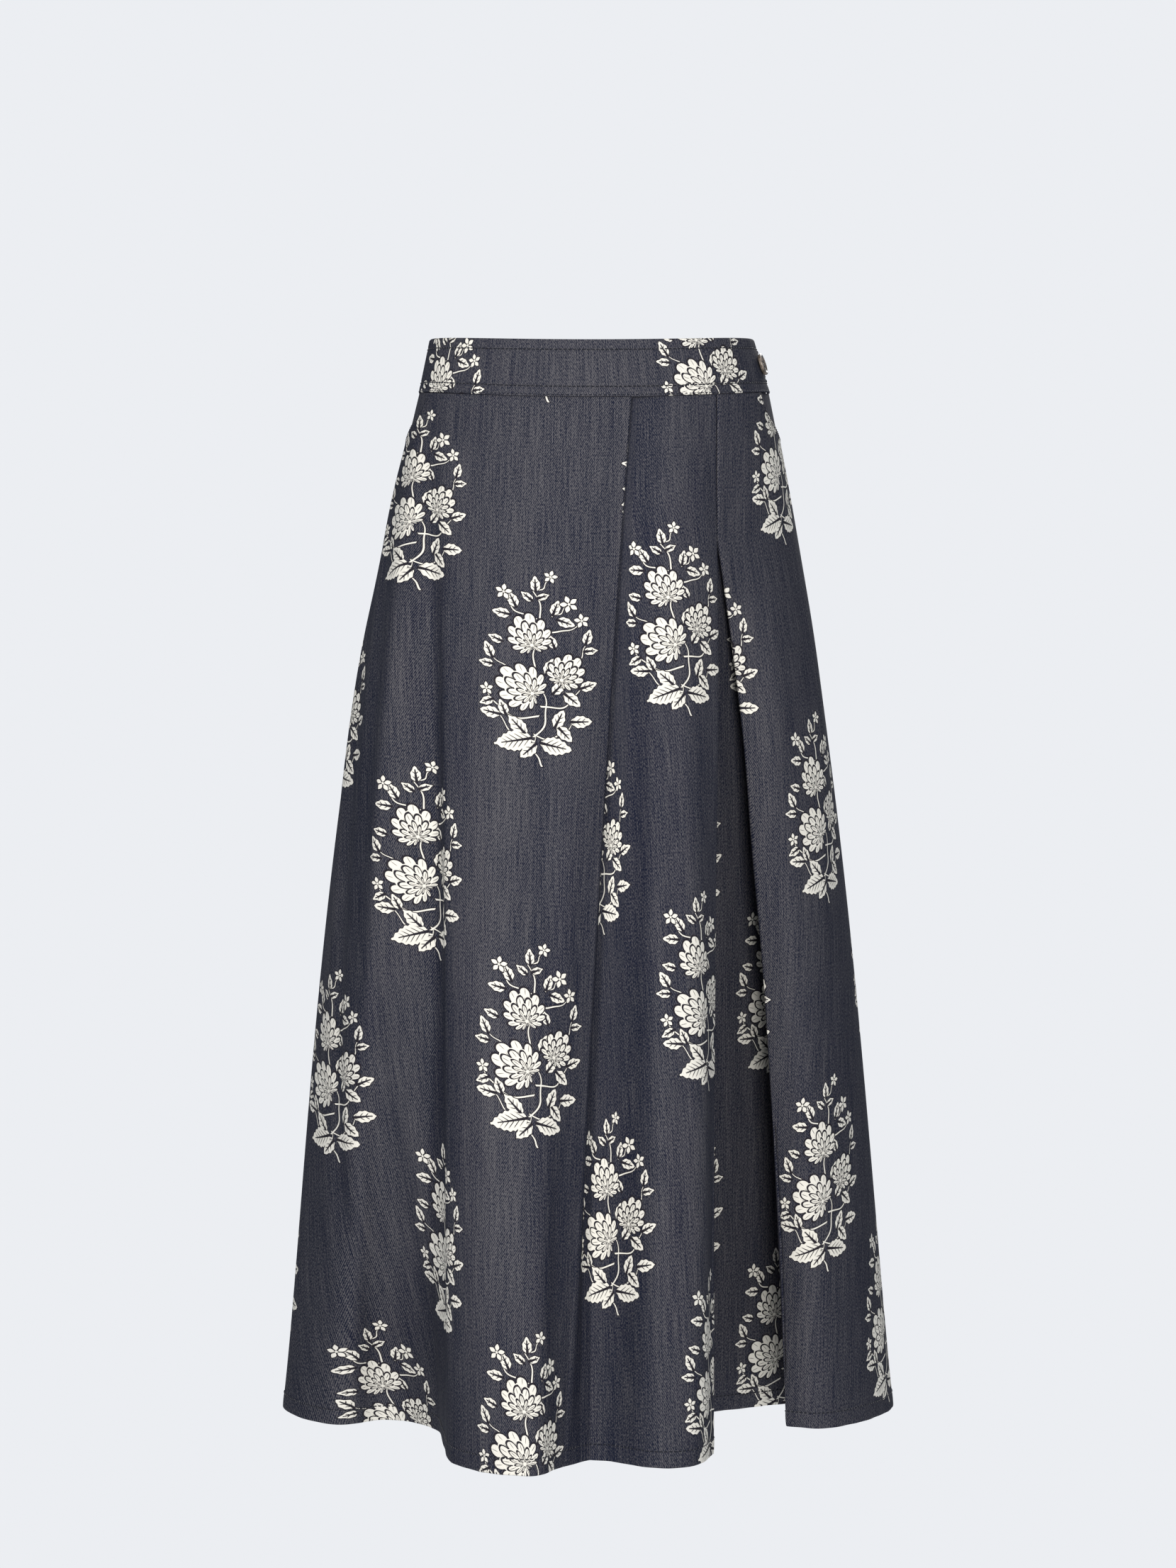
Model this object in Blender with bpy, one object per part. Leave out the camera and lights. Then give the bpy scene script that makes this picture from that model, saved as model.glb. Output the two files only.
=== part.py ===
"""Pleated A-line skirt, filled out as worn: front and back panels, waistband, pocket facings and a button.

Sizes are in millimetres and become metres where a mesh is written. +Z is up, -Y is the skirt's front, and
the origin is the centre of the waist, at mid-height of the band's sides. A panel is a wall along a section
line. The line runs through a short table of folds, whose places are known at the waist seam and at the hem
and eased between them. A fold with a small radius is pressed; the others are soft waves."""

import math
from collections import namedtuple

import bmesh
import bpy
import numpy as np
from mathutils import Matrix, Vector

MM = 0.001

# --- driving sizes ---------------------------------------------------------------------------------
CLOTH = 1.2  # one layer of the denim, as a wall
LAYER = 1.9  # from the middle of one pleat layer to the next
SEAM_GAP = 0.3  # between two pieces that are sewn together

Ring = namedtuple("Ring", "half_x half_y shift height dip")
TOP_EDGE = Ring(124.5, 95.5, 1.5, 20.0, 11.5)  # the band's top edge; it runs lower at the front by the dip
WAIST_SEAM = Ring(136.2, 103.5, 3.5, -21.5, 14.0)

HEM = -814.0  # height of the level hem
SIDE_SEAM = 97.0  # degrees round from the front centre to each side seam, at the waist

BAND_WALL = 2.4  # two layers and their stiffening
LAP_END = 90.0  # degrees round to the band's upper end, on the wearer's left
LAP_TAB = 66.0  # degrees round to the end of the tab beneath it
LAP_GAP = 0.5  # between the upper end and the tab

BUTTON_AT = 80.0  # degrees round to the button
BUTTON_RADIUS = 8.5
BUTTON_THICK = 3.2
BUTTON_HOLE = 1.1  # radius of each of its four holes
BUTTON_SPREAD = 1.9  # from the button's middle to each hole, along both of its axes

MOUTH_START = 70.0  # degrees round to the pocket mouth's upper end
MOUTH_DEEP = 37.0  # how far down the side seam the mouth ends
MOUTH_SCOOP = 2.2  # above 1 the mouth runs down first, then out to the side
FACING_FROM = 62.0  # degrees round to the facing's front edge, behind the front panel
FACING_DEEP = 82.0
FACING_IN = 2.8  # from the middle of the front panel's wall to the middle of the facing's

# Heights of the wall's rows, as shares of the way from the waist seam down to the hem. The first follow the
# pocket mouths.
MOUTH_ROWS = (0, 0.012, 0.024, 0.032, 0.04, 0.047)
ROWS = MOUTH_ROWS + (0.075, 0.12, 0.18, 0.26, 0.35, 0.45, 0.55, 0.65, 0.75, 0.85, 0.93, 1)
SOFT = 1e6  # a radius longer than any stretch of cloth: the wave is as round as its neighbours allow
PRESSED = 1.1  # radius of a pressed fold
SOFT_OUT = 0.9  # at the waist a soft fold's point lies this far outside the line that rounds it

# waist: degrees round from the front centre to the wearer's left. layer: how many layers it lies inside the
# waist seam. hem_x, hem_y: its place at the hem. hip: how much of the way out it takes early, over the hip.
# shut_on: the fold that it stays shut against, down to the share `opens` of the height. steps: points on it.
# bow: how far it runs forward of its straight way at mid-height, so that a valley deepens only near the hem.
Fold = namedtuple("Fold", "name waist layer hem_x hem_y radius hip shut_on opens steps bow", defaults=(0,))

FRONT = (
    Fold("right side seam", -SIDE_SEAM, 0, -237, 68, SOFT, 1.0, None, 0, 1),
    Fold("right side curve", -90, 0, -244, 32, SOFT, 0.88, None, 0, 3),
    Fold("outer lobe", -82, 0, -220, -18, SOFT, 0.88, None, 0, 3, 20),
    Fold("outer lobe crest", -76, 0, -188, -46, SOFT, 1.0, None, 0, 3, 62),
    Fold("outer dip", -72, 0, -160, -8, SOFT, 1.0, None, 0, 3, 92),
    Fold("valley floor", -68, 0, -118, -45, SOFT, 0.6, None, 0, 4, 76),
    Fold("valley wall", -64, 0, -108, -95, SOFT, 0.4, None, 0, 4, 54),
    Fold("main lobe edge", -54, 0, -106, -176, SOFT, 0.4, None, 0, 4, 32),
    Fold("main lobe", -36, 0, -78, -216, SOFT, 0.3, None, 0, 3, 12),
    Fold("main lobe crest", -17, 0, -44, -232, SOFT, 0.3, None, 0, 3),
    Fold("tuck lead", 0, 0, -28, -222, SOFT, 0.2, None, 0, 3),
    Fold("tuck edge", 11.5, 0, -18, -196, PRESSED, 0.2, None, 0, 2),
    Fold("tuck edge under", 11.5, 1, -15, -190, PRESSED, 0.2, "tuck edge", 0.1, 2),
    Fold("tuck inner", 2, 1, -8, -180, PRESSED, 0.2, "tuck edge", 0.1, 2),
    Fold("tuck inner under", 2, 2.2, 0, -172, PRESSED, 0.2, "tuck edge", 0.1, 2),
    Fold("tuck out", 15, 2.2, 18, -176, SOFT, 0.2, "tuck edge", 0.1, 3),
    Fold("third lobe", 24, 0, 44, -204, SOFT, 0.2, None, 0, 3, 8),
    Fold("third lobe end", 34, 0, 76, -196, SOFT, 0.2, None, 0, 3, 4),
    Fold("pleat left edge", 42.2, 0, 91, -152, PRESSED, 0.2, None, 0, 2),
    Fold("pleat left under", 42.2, 1, 90, -146, PRESSED, 0.2, "pleat left edge", 0.14, 2),
    Fold("pleat left inner", 28, 1, 66, -8, PRESSED, 0.6, "pleat left edge", 0.14, 2),
    Fold("pleat floor left", 28, 2.6, 70, -2, PRESSED, 0.6, "pleat left edge", 0.14, 2),
    Fold("pleat floor", 43, 2.6, 112, 26, SOFT, 0.6, "pleat left edge", 0.14, 3),
    Fold("pleat floor right", 57, 2.6, 176, 62, PRESSED, 0.8, "pleat left edge", 0.14, 2),
    Fold("pleat right inner", 57, 1, 177, 56, PRESSED, 0.8, "pleat left edge", 0.14, 2),
    Fold("pleat right under", 43.2, 1, 152, -38, PRESSED, 1.0, "pleat left edge", 0.14, 2),
    Fold("pleat right edge", 43.2, 0, 150, -44, PRESSED, 1.0, "pleat left edge", 0.14, 2),
    Fold("left lobe", 56, 0, 178, -58, SOFT, 0.7, None, 0, 3),
    Fold("left lobe out", 72, 0, 214, -22, SOFT, 0.68, None, 0, 3),
    Fold("left side curve", 88, 0, 240, 30, SOFT, 0.68, None, 0, 3),
    Fold("left side seam", SIDE_SEAM, 0, 238, 72, SOFT, 0.68, None, 0, 1),
)

BACK = (
    Fold("left side seam", SIDE_SEAM, 0, 238, 72, SOFT, 0.68, None, 0, 1),
    Fold("left turn", 108, 0, 236, 122, SOFT, 0.68, None, 0, 3),
    Fold("left back lobe", 120, 0, 196, 172, SOFT, 0.68, None, 0, 3),
    Fold("left back dip", 133, 0, 150, 130, SOFT, 0.5, None, 0, 3),
    Fold("left middle lobe", 146, 0, 112, 196, SOFT, 0.4, None, 0, 3),
    Fold("left middle crest", 158, 0, 66, 222, SOFT, 0.3, None, 0, 3),
    Fold("centre dip left", 170, 0, 30, 160, SOFT, 0.3, None, 0, 3),
    Fold("centre dip right", 184, 0, -18, 164, SOFT, 0.3, None, 0, 3),
    Fold("right middle crest", 198, 0, -58, 226, SOFT, 0.3, None, 0, 3),
    Fold("right middle lobe", 211, 0, -112, 198, SOFT, 0.4, None, 0, 3),
    Fold("right back dip", 225, 0, -146, 130, SOFT, 0.5, None, 0, 3),
    Fold("right back lobe", 238, 0, -196, 176, SOFT, 0.8, None, 0, 3),
    Fold("right turn", 251, 0, -236, 122, SOFT, 1.0, None, 0, 3),
    Fold("right side seam", 360 - SIDE_SEAM, 0, -237, 68, SOFT, 1.0, None, 0, 1),
)


# --- the section line ------------------------------------------------------------------------------
def on_ring(ring, degrees, inside=0.0):
    """A point of an oval ring, degrees round from the front centre, moved inside it; the front dips."""
    angle = np.radians(degrees)
    x = (ring.half_x - inside) * np.sin(angle) + ring.shift
    y = -(ring.half_y - inside) * np.cos(angle)
    z = ring.height - ring.dip * np.maximum(0.0, np.cos(angle)) ** 1.5
    return np.stack(np.broadcast_arrays(x, y, z), axis=-1)


def fall(t, hip):
    """Share of its way out that a fold has taken at t: straight down for hip 0, more over the hip above 0."""
    return t + hip * t * (1 - t) ** 1.5


def fallen(fold, t):
    """A fold that hangs free: (x, y, z) at the share t of the height."""
    bulge = SOFT_OUT if fold.radius == SOFT else 0.0
    top = on_ring(WAIST_SEAM, fold.waist, fold.layer * LAYER - bulge) - (0, 0, SEAM_GAP)
    share = fall(t, fold.hip)
    straight = top + (np.array((fold.hem_x, fold.hem_y, HEM)) - top) * (share, share, t)
    return straight - np.array((0, fold.bow * 4 * t * (1 - t), 0))


def fold_point(fold, by_name, t):
    """A fold's place at t. One that is shut on another is carried by it as at the waist, and then opens."""
    if fold.shut_on is None:
        return fallen(fold, t)
    carrier = by_name[fold.shut_on]
    lead = fallen(carrier, t)
    beside = fallen(fold, 0) - fallen(carrier, 0)
    opening = np.array((fold.hem_x - carrier.hem_x, fold.hem_y - carrier.hem_y, 0)) - beside * (1, 1, 0)
    share = fall(max(0.0, (t - fold.opens) / (1 - fold.opens)), fold.hip)
    return lead + beside * (1, 1, 1 - t) + opening * share


def section(folds, t, finer=1):
    """The section line at t, as rows of x, y, z and the degrees at the waist. Each fold is rounded by a
    parabola that starts and ends its radius away, or half-way to the neighbour where that is nearer."""
    by_name = {fold.name: fold for fold in folds}
    points = np.array([(*fold_point(fold, by_name, t), fold.waist) for fold in folds])
    line = [points[:1]]
    for before, here, after, fold in zip(points, points[1:], points[2:], folds[1:]):
        back = before - here
        onward = after - here
        start = here + back * min(0.5, fold.radius / max(math.hypot(back[0], back[1]), 1e-6))
        end = here + onward * min(0.5, fold.radius / max(math.hypot(onward[0], onward[1]), 1e-6))
        steps = fold.steps * finer
        s = ((np.arange(steps) + 0.5) / steps)[:, None]
        line.append((1 - s) ** 2 * start + 2 * s * (1 - s) * here + s**2 * end)
    line.append(points[-1:])
    return np.concatenate(line)


# --- the wall --------------------------------------------------------------------------------------
def normals(line):
    """Unit normals of a section line, level and pointing out of the skirt."""
    steps = np.diff(line[:, :2], axis=0)
    steps /= np.linalg.norm(steps, axis=1, keepdims=True)
    along = np.concatenate([steps[:1], steps[:-1] + steps[1:], steps[-1:]])
    along /= np.linalg.norm(along, axis=1, keepdims=True)
    return np.stack([along[:, 1], -along[:, 0], np.zeros(len(line))], axis=1)


def resampled(line, index):
    """The line read at fractional indices."""
    whole = np.arange(len(line))
    return np.stack([np.interp(index, whole, column) for column in line.T], axis=1)


def seam_ends(line):
    """The line with half a seam gap taken off each end."""
    first = (line[1] - line[0]) / np.linalg.norm((line[1] - line[0])[:2])
    last = (line[-2] - line[-1]) / np.linalg.norm((line[-2] - line[-1])[:2])
    line[0] += first * SEAM_GAP / 2
    line[-1] += last * SEAM_GAP / 2
    return line


def wall(rows, outward, thickness):
    """Closed wall round a sheet of points: rows and outward are arrays of shape (rows, columns, 3)."""
    count, wide = rows.shape[:2]
    sides = (rows + outward * thickness / 2, rows - outward * thickness / 2)
    verts = np.concatenate([side.reshape(-1, 3) for side in sides])
    inner = count * wide
    at = np.arange(inner).reshape(count, wide)
    a, b, c, d = (part.ravel() for part in (at[:-1, :-1], at[1:, :-1], at[1:, 1:], at[:-1, 1:]))
    faces = [np.stack([a, b, c, d], axis=1), np.stack([d, c, b, a], axis=1) + inner]
    rim = np.concatenate([at[0, ::-1], at[1:, 0], at[-1, 1:], at[-2:0:-1, -1]])
    following = np.roll(rim, -1)
    faces.append(np.stack([following, rim, rim + inner, following + inner], axis=1))
    return verts, np.concatenate(faces)


def make(name, verts, faces, colour, roughness, metallic=0.0):
    mesh = bpy.data.meshes.new(name)
    mesh.from_pydata((np.asarray(verts) * MM).tolist(), [], [[int(i) for i in face] for face in faces])
    mesh.shade_smooth()
    mesh.set_sharp_from_angle(angle=math.radians(40))
    obj = bpy.data.objects.new(name, mesh)
    bpy.context.scene.collection.objects.link(obj)
    material = bpy.data.materials.new(name)
    material.use_nodes = True
    shader = material.node_tree.nodes["Principled BSDF"]
    shader.inputs["Base Color"].default_value = (*colour, 1.0)
    shader.inputs["Roughness"].default_value = roughness
    shader.inputs["Metallic"].default_value = metallic
    mesh.materials.append(material)
    return obj


DENIM = (0.060, 0.062, 0.085)
HORN = (0.085, 0.075, 0.066)


# --- pieces ----------------------------------------------------------------------------------------
def mouth_edge(drop):
    """Degrees round to the scooped pocket mouth, this far below the waist seam."""
    share = np.clip(drop / MOUTH_DEEP, 0, 1)
    return SIDE_SEAM - (SIDE_SEAM - MOUTH_START) * (1 - share**MOUTH_SCOOP)


def drop_at(t):
    """How far the share t of the height lies below the waist seam, at the side."""
    return t * (WAIST_SEAM.height - HEM)


def scooped(line, drop):
    """The front's section line with both pocket mouths cut away: the columns by each side draw together."""
    columns = np.arange(len(line), dtype=float)
    degrees = line[:, 3]
    edge = mouth_edge(drop)
    for side in (-1, 1):
        kept = np.interp(side * edge, degrees, columns)
        anchor = np.interp(side * FACING_FROM, degrees, columns)
        end = 0.0 if side < 0 else len(line) - 1.0
        beyond = (columns - anchor) * side > 0
        columns[beyond] = anchor + (columns[beyond] - anchor) * (kept - anchor) / (end - anchor)
    return resampled(line, columns)


def panel(name, folds, cut=lambda line, drop: line):
    lines = [seam_ends(cut(section(folds, t), drop_at(t))) for t in ROWS]
    rows = np.array([line[:, :3] for line in lines])
    outward = np.array([normals(line) for line in lines])
    return make(name, *wall(rows, outward, CLOTH), DENIM, 0.85)


def pocket_facing(name, side):
    """The strip that closes the pocket behind its mouth: it follows the front panel, a little further in."""
    heights = [t for t in ROWS if drop_at(t) < FACING_DEEP] + [FACING_DEEP / drop_at(1)]
    rows = []
    outward = []
    for t in heights:
        line = seam_ends(section(FRONT, t))
        ends = sorted((side * FACING_FROM, side * SIDE_SEAM))
        index = np.interp(np.linspace(*ends, 12), line[:, 3], np.arange(len(line)))
        strip = resampled(line, index)
        facing = normals(strip)
        rows.append(strip[:, :3] - facing * FACING_IN)
        outward.append(facing)
    return make(name, *wall(np.array(rows), np.array(outward), CLOTH), DENIM, 0.85)


def waistband():
    """One contoured strip, from its upper end on the wearer's left, round the front and back, to its tab."""
    degrees = np.linspace(LAP_END, LAP_TAB - 360, 67)
    tucked = np.clip((degrees - (LAP_TAB - 360)) / (LAP_END - LAP_TAB), 0, None)  # 1 under the upper end
    inside = (BAND_WALL + LAP_GAP) * np.clip(2.0 - tucked, 0, 1)
    rows = []
    for share in np.linspace(0, 1, 4):
        top = on_ring(TOP_EDGE, degrees, inside)
        rows.append(top + (on_ring(WAIST_SEAM, degrees, inside) - top) * share)
    rows = np.array(rows)[:, ::-1]
    outward = np.array([normals(line) for line in rows])
    return make("waistband", *wall(rows, outward, BAND_WALL), DENIM, 0.82)


def button_place():
    """Where the button's back sits on the band, and the directions along the band, up it and out of it."""
    spots = (BUTTON_AT, BUTTON_AT + 1)
    middle, ahead = ((on_ring(TOP_EDGE, at) + on_ring(WAIST_SEAM, at)) / 2 for at in spots)
    up = on_ring(TOP_EDGE, BUTTON_AT) - on_ring(WAIST_SEAM, BUTTON_AT)
    up /= np.linalg.norm(up)
    along = ahead - middle
    along -= up * np.dot(along, up)
    along /= np.linalg.norm(along)
    out = np.cross(along, up)
    return middle + out * (BAND_WALL / 2 + SEAM_GAP), along, up, out


def button():
    """A turned, dished button, seated on the band and facing straight out of it, with four holes through."""
    # radius and height of the profile, from the middle of the face over the rim to the middle of the back
    face = ((0, 2.3), (5.2, 2.3), (6.4, 3.0), (7.5, BUTTON_THICK), (8.2, 2.8))
    back = ((BUTTON_RADIUS, 1.9), (7.9, 0.6), (6.5, 0), (0, 0))
    profile = face + back
    sides = 24
    turns = np.radians(np.arange(sides) * 360 / sides)
    verts = [(0, 0, profile[0][1])]
    for radius, height in profile[1:-1]:
        verts += [(radius * math.cos(turn), radius * math.sin(turn), height) for turn in turns]
    verts.append((0, 0, profile[-1][1]))
    outer_ring = 1 + (len(profile) - 3) * sides
    faces = []
    for i in range(sides):
        j = (i + 1) % sides
        faces.append((0, 1 + i, 1 + j))
        faces += [(a + i, a + sides + i, a + sides + j, a + j) for a in range(1, outer_ring, sides)]
        faces.append((outer_ring + i, len(verts) - 1, outer_ring + j))
    disc = make("button", verts, faces, HORN, 0.35)
    spread = (-BUTTON_SPREAD, BUTTON_SPREAD)
    cutters = [hole_cutter(x, y) for x in spread for y in spread]
    for cutter in cutters:
        cut = disc.modifiers.new("hole", "BOOLEAN")
        cut.object = cutter
        cut.operation = "DIFFERENCE"
    place, along, up, out = button_place()
    turned = Matrix(np.stack([along, up, out], axis=1).tolist()).to_4x4()
    seat = Matrix.Translation(Vector(place * MM)) @ turned
    for obj in (disc, *cutters):
        obj.matrix_world = seat
    return disc


def hole_cutter(x, y):
    """A small rod through the button, left out of the model itself."""
    mesh = bpy.data.meshes.new("hole")
    form = bmesh.new()
    place = Matrix.Translation(Vector((x, y, BUTTON_THICK / 2)) * MM)
    radius = BUTTON_HOLE * MM
    depth = 3 * BUTTON_THICK * MM
    bmesh.ops.create_cone(
        form, cap_ends=True, segments=10, radius1=radius, radius2=radius, depth=depth, matrix=place
    )
    form.to_mesh(mesh)
    form.free()
    rod = bpy.data.objects.new("hole", mesh)
    bpy.context.scene.collection.objects.link(rod)
    rod.hide_render = True
    rod.display_type = "WIRE"
    return rod


def build():
    for old in list(bpy.data.objects):
        bpy.data.objects.remove(old, do_unlink=True)
    panel("front_panel", FRONT, scooped)
    panel("back_panel", BACK)
    pocket_facing("pocket_facing_right", -1)
    pocket_facing("pocket_facing_left", 1)
    waistband()
    button()


build()
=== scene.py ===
# %% [markdown]
# # A pleated denim skirt, filled out as if it were worn
# The skirt is two panels of printed denim, a contoured waistband that laps over itself at one side, two
# scooped side pockets and a button. There is no wearer: the waistband keeps its oval and the panels fall
# from it. The lesson loads the fixed construction model, and then builds each visible surface around it.

# %% Load the construction model
import math
from collections import namedtuple

import bmesh
import bpy
import numpy as np
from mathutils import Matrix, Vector


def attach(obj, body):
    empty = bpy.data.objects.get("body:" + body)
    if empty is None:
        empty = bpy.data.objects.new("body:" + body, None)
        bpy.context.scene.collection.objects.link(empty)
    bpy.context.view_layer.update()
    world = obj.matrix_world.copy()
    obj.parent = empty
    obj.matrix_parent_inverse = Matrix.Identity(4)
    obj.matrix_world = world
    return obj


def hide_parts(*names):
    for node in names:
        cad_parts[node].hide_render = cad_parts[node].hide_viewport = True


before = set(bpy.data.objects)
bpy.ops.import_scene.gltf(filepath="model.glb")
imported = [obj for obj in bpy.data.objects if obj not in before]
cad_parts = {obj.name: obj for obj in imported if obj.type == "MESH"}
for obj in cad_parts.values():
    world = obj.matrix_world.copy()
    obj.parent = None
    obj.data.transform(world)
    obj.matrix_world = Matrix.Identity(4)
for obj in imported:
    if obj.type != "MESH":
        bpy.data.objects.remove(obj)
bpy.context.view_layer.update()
print("nodes:", sorted(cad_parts))

# %% [markdown]
# ## Sizes
# All tables here are in millimetres and degrees, as a pattern cutter works, and become metres only where a
# mesh is written. Degrees run round the waist from the front centre towards the wearer's left. The rings
# are the waistband's two edges; a worn waistband sits lower at the front, so each ring dips there.

# %% Driving sizes
MM = 0.001
CLOTH = 1.2  # one layer of the denim
LAYER = 1.9  # from the middle of one pleat layer to the next
SEAM_GAP = 0.3

Ring = namedtuple("Ring", "half_x half_y shift height dip")
TOP_EDGE = Ring(124.5, 95.5, 1.5, 20.0, 11.5)
WAIST_SEAM = Ring(136.2, 103.5, 3.5, -21.5, 14.0)
HEM = -814.0
LENGTH = WAIST_SEAM.height - HEM
SIDE_SEAM = 97.0
SOFT = 1e6  # a radius longer than any stretch of cloth: as round as the neighbours allow
PRESSED = 1.1
SOFT_OUT = 0.9

# %% [markdown]
# ## The folds
# A skirt like this is best described by its folds. Each row gives where a fold starts at the waist seam,
# how many layers in it lies, where it arrives at the hem, and how round it is. `hip` sends it out early,
# `shut_on` and `opens` keep a pleat closed down to a share of the height, and `bow` carries it forward at
# mid-height. The alternative, a cloth simulation, would find its own folds and not the ones in the picture.

# %% The table of folds
Fold = namedtuple("Fold", "name waist layer hem_x hem_y radius hip shut_on opens bow", defaults=(None, 0, 0))

FRONT = (
    Fold("right side seam", -SIDE_SEAM, 0, -237, 68, SOFT, 1.0),
    Fold("right side curve", -90, 0, -244, 32, SOFT, 0.88),
    Fold("outer lobe", -82, 0, -220, -18, SOFT, 0.88, bow=20),
    Fold("outer lobe crest", -76, 0, -188, -46, SOFT, 1.0, bow=62),
    Fold("outer dip", -72, 0, -160, -8, SOFT, 1.0, bow=92),
    Fold("valley floor", -68, 0, -118, -45, SOFT, 0.6, bow=76),
    Fold("valley wall", -64, 0, -108, -95, SOFT, 0.4, bow=54),
    Fold("main lobe edge", -54, 0, -106, -176, SOFT, 0.4, bow=32),
    Fold("main lobe", -36, 0, -78, -216, SOFT, 0.3, bow=12),
    Fold("main lobe crest", -17, 0, -44, -232, SOFT, 0.3),
    Fold("tuck lead", 0, 0, -28, -222, SOFT, 0.2),
    Fold("tuck edge", 11.5, 0, -18, -196, PRESSED, 0.2),
    Fold("tuck edge under", 11.5, 1, -15, -190, PRESSED, 0.2, "tuck edge", 0.1),
    Fold("tuck inner", 2, 1, -8, -180, PRESSED, 0.2, "tuck edge", 0.1),
    Fold("tuck inner under", 2, 2.2, 0, -172, PRESSED, 0.2, "tuck edge", 0.1),
    Fold("tuck out", 15, 2.2, 18, -176, SOFT, 0.2, "tuck edge", 0.1),
    Fold("third lobe", 24, 0, 44, -204, SOFT, 0.2, bow=8),
    Fold("third lobe end", 34, 0, 76, -196, SOFT, 0.2, bow=4),
    Fold("pleat left edge", 42.2, 0, 91, -152, PRESSED, 0.2),
    Fold("pleat left under", 42.2, 1, 90, -146, PRESSED, 0.2, "pleat left edge", 0.14),
    Fold("pleat left inner", 28, 1, 66, -8, PRESSED, 0.6, "pleat left edge", 0.14),
    Fold("pleat floor left", 28, 2.6, 70, -2, PRESSED, 0.6, "pleat left edge", 0.14),
    Fold("pleat floor", 43, 2.6, 112, 26, SOFT, 0.6, "pleat left edge", 0.14),
    Fold("pleat floor right", 57, 2.6, 176, 62, PRESSED, 0.8, "pleat left edge", 0.14),
    Fold("pleat right inner", 57, 1, 177, 56, PRESSED, 0.8, "pleat left edge", 0.14),
    Fold("pleat right under", 43.2, 1, 152, -38, PRESSED, 1.0, "pleat left edge", 0.14),
    Fold("pleat right edge", 43.2, 0, 150, -44, PRESSED, 1.0, "pleat left edge", 0.14),
    Fold("left lobe", 56, 0, 178, -58, SOFT, 0.7),
    Fold("left lobe out", 72, 0, 214, -22, SOFT, 0.68),
    Fold("left side curve", 88, 0, 240, 30, SOFT, 0.68),
    Fold("left side seam", SIDE_SEAM, 0, 238, 72, SOFT, 0.68),
)

BACK = (
    Fold("left side seam", SIDE_SEAM, 0, 238, 72, SOFT, 0.68),
    Fold("left turn", 108, 0, 236, 122, SOFT, 0.68),
    Fold("left back lobe", 120, 0, 196, 172, SOFT, 0.68),
    Fold("left back dip", 133, 0, 150, 130, SOFT, 0.5),
    Fold("left middle lobe", 146, 0, 112, 196, SOFT, 0.4),
    Fold("left middle crest", 158, 0, 66, 222, SOFT, 0.3),
    Fold("centre dip left", 170, 0, 30, 160, SOFT, 0.3),
    Fold("centre dip right", 184, 0, -18, 164, SOFT, 0.3),
    Fold("right middle crest", 198, 0, -58, 226, SOFT, 0.3),
    Fold("right middle lobe", 211, 0, -112, 198, SOFT, 0.4),
    Fold("right back dip", 225, 0, -146, 130, SOFT, 0.5),
    Fold("right back lobe", 238, 0, -196, 176, SOFT, 0.8),
    Fold("right turn", 251, 0, -236, 122, SOFT, 1.0),
    Fold("right side seam", 360 - SIDE_SEAM, 0, -237, 68, SOFT, 1.0),
)
print(len(FRONT), "folds in the front and", len(BACK), "in the back")


# %% Where a fold runs
def on_ring(ring, degrees, inside=0.0):
    """An oval in plan, x = a sin and y = -b cos of the degrees, whose height dips by cos to the power 1.5."""
    angle = np.radians(degrees)
    x = (ring.half_x - inside) * np.sin(angle) + ring.shift
    y = -(ring.half_y - inside) * np.cos(angle)
    z = ring.height - ring.dip * np.maximum(0.0, np.cos(angle)) ** 1.5
    return np.stack(np.broadcast_arrays(x, y, z), axis=-1)


def fall(t, hip):
    """Share of the way out at height share t: t plus a bulge over the hip, hip * t * (1 - t) ** 1.5."""
    return t + hip * t * (1 - t) ** 1.5


def fallen(fold, t):
    """A fold that hangs free: straight from waist ring to hem, and forward by bow * 4t(1 - t)."""
    bulge = SOFT_OUT if fold.radius == SOFT else 0.0
    top = on_ring(WAIST_SEAM, fold.waist, fold.layer * LAYER - bulge) - (0, 0, SEAM_GAP)
    out = fall(t, fold.hip)
    straight = top + (np.array((fold.hem_x, fold.hem_y, HEM)) - top) * np.stack([out, out, t], axis=-1)
    return straight - np.array((0, 1, 0)) * (fold.bow * 4 * t * (1 - t))[:, None]


def fold_path(fold, by_name, t):
    """A fold's points at the heights t. One shut on another keeps beside it, and swings open further down."""
    if fold.shut_on is None:
        return fallen(fold, t)
    carrier = by_name[fold.shut_on]
    zero = np.zeros(1)
    beside = fallen(fold, zero) - fallen(carrier, zero)
    opening = np.array((fold.hem_x - carrier.hem_x, fold.hem_y - carrier.hem_y, 0)) - beside * (1, 1, 0)
    out = fall(np.clip((t - fold.opens) / (1 - fold.opens), 0, None), fold.hip)
    flat = np.ones_like(t)
    return fallen(carrier, t) + beside * np.stack([flat, flat, 1 - t], axis=-1) + opening * out[:, None]


# %% [markdown]
# ## The section lines
# At each height the cloth is a line seen from above, which runs from fold to fold. A parabola rounds each
# fold: its ends lie on the two straight stretches, a radius away or half-way to the neighbour. That is a
# quadratic B-spline where the folds are soft, and a straight line with small rounds where they are pressed.

# %% Section lines as one array
SPACING = 5.0  # widest step between two columns of the mesh, at the hem
FEWEST_STEPS = 4  # in a round, however small
STEP_SLACK = 0.02  # a straight stretch may be this share of a step too long for its steps


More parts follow.
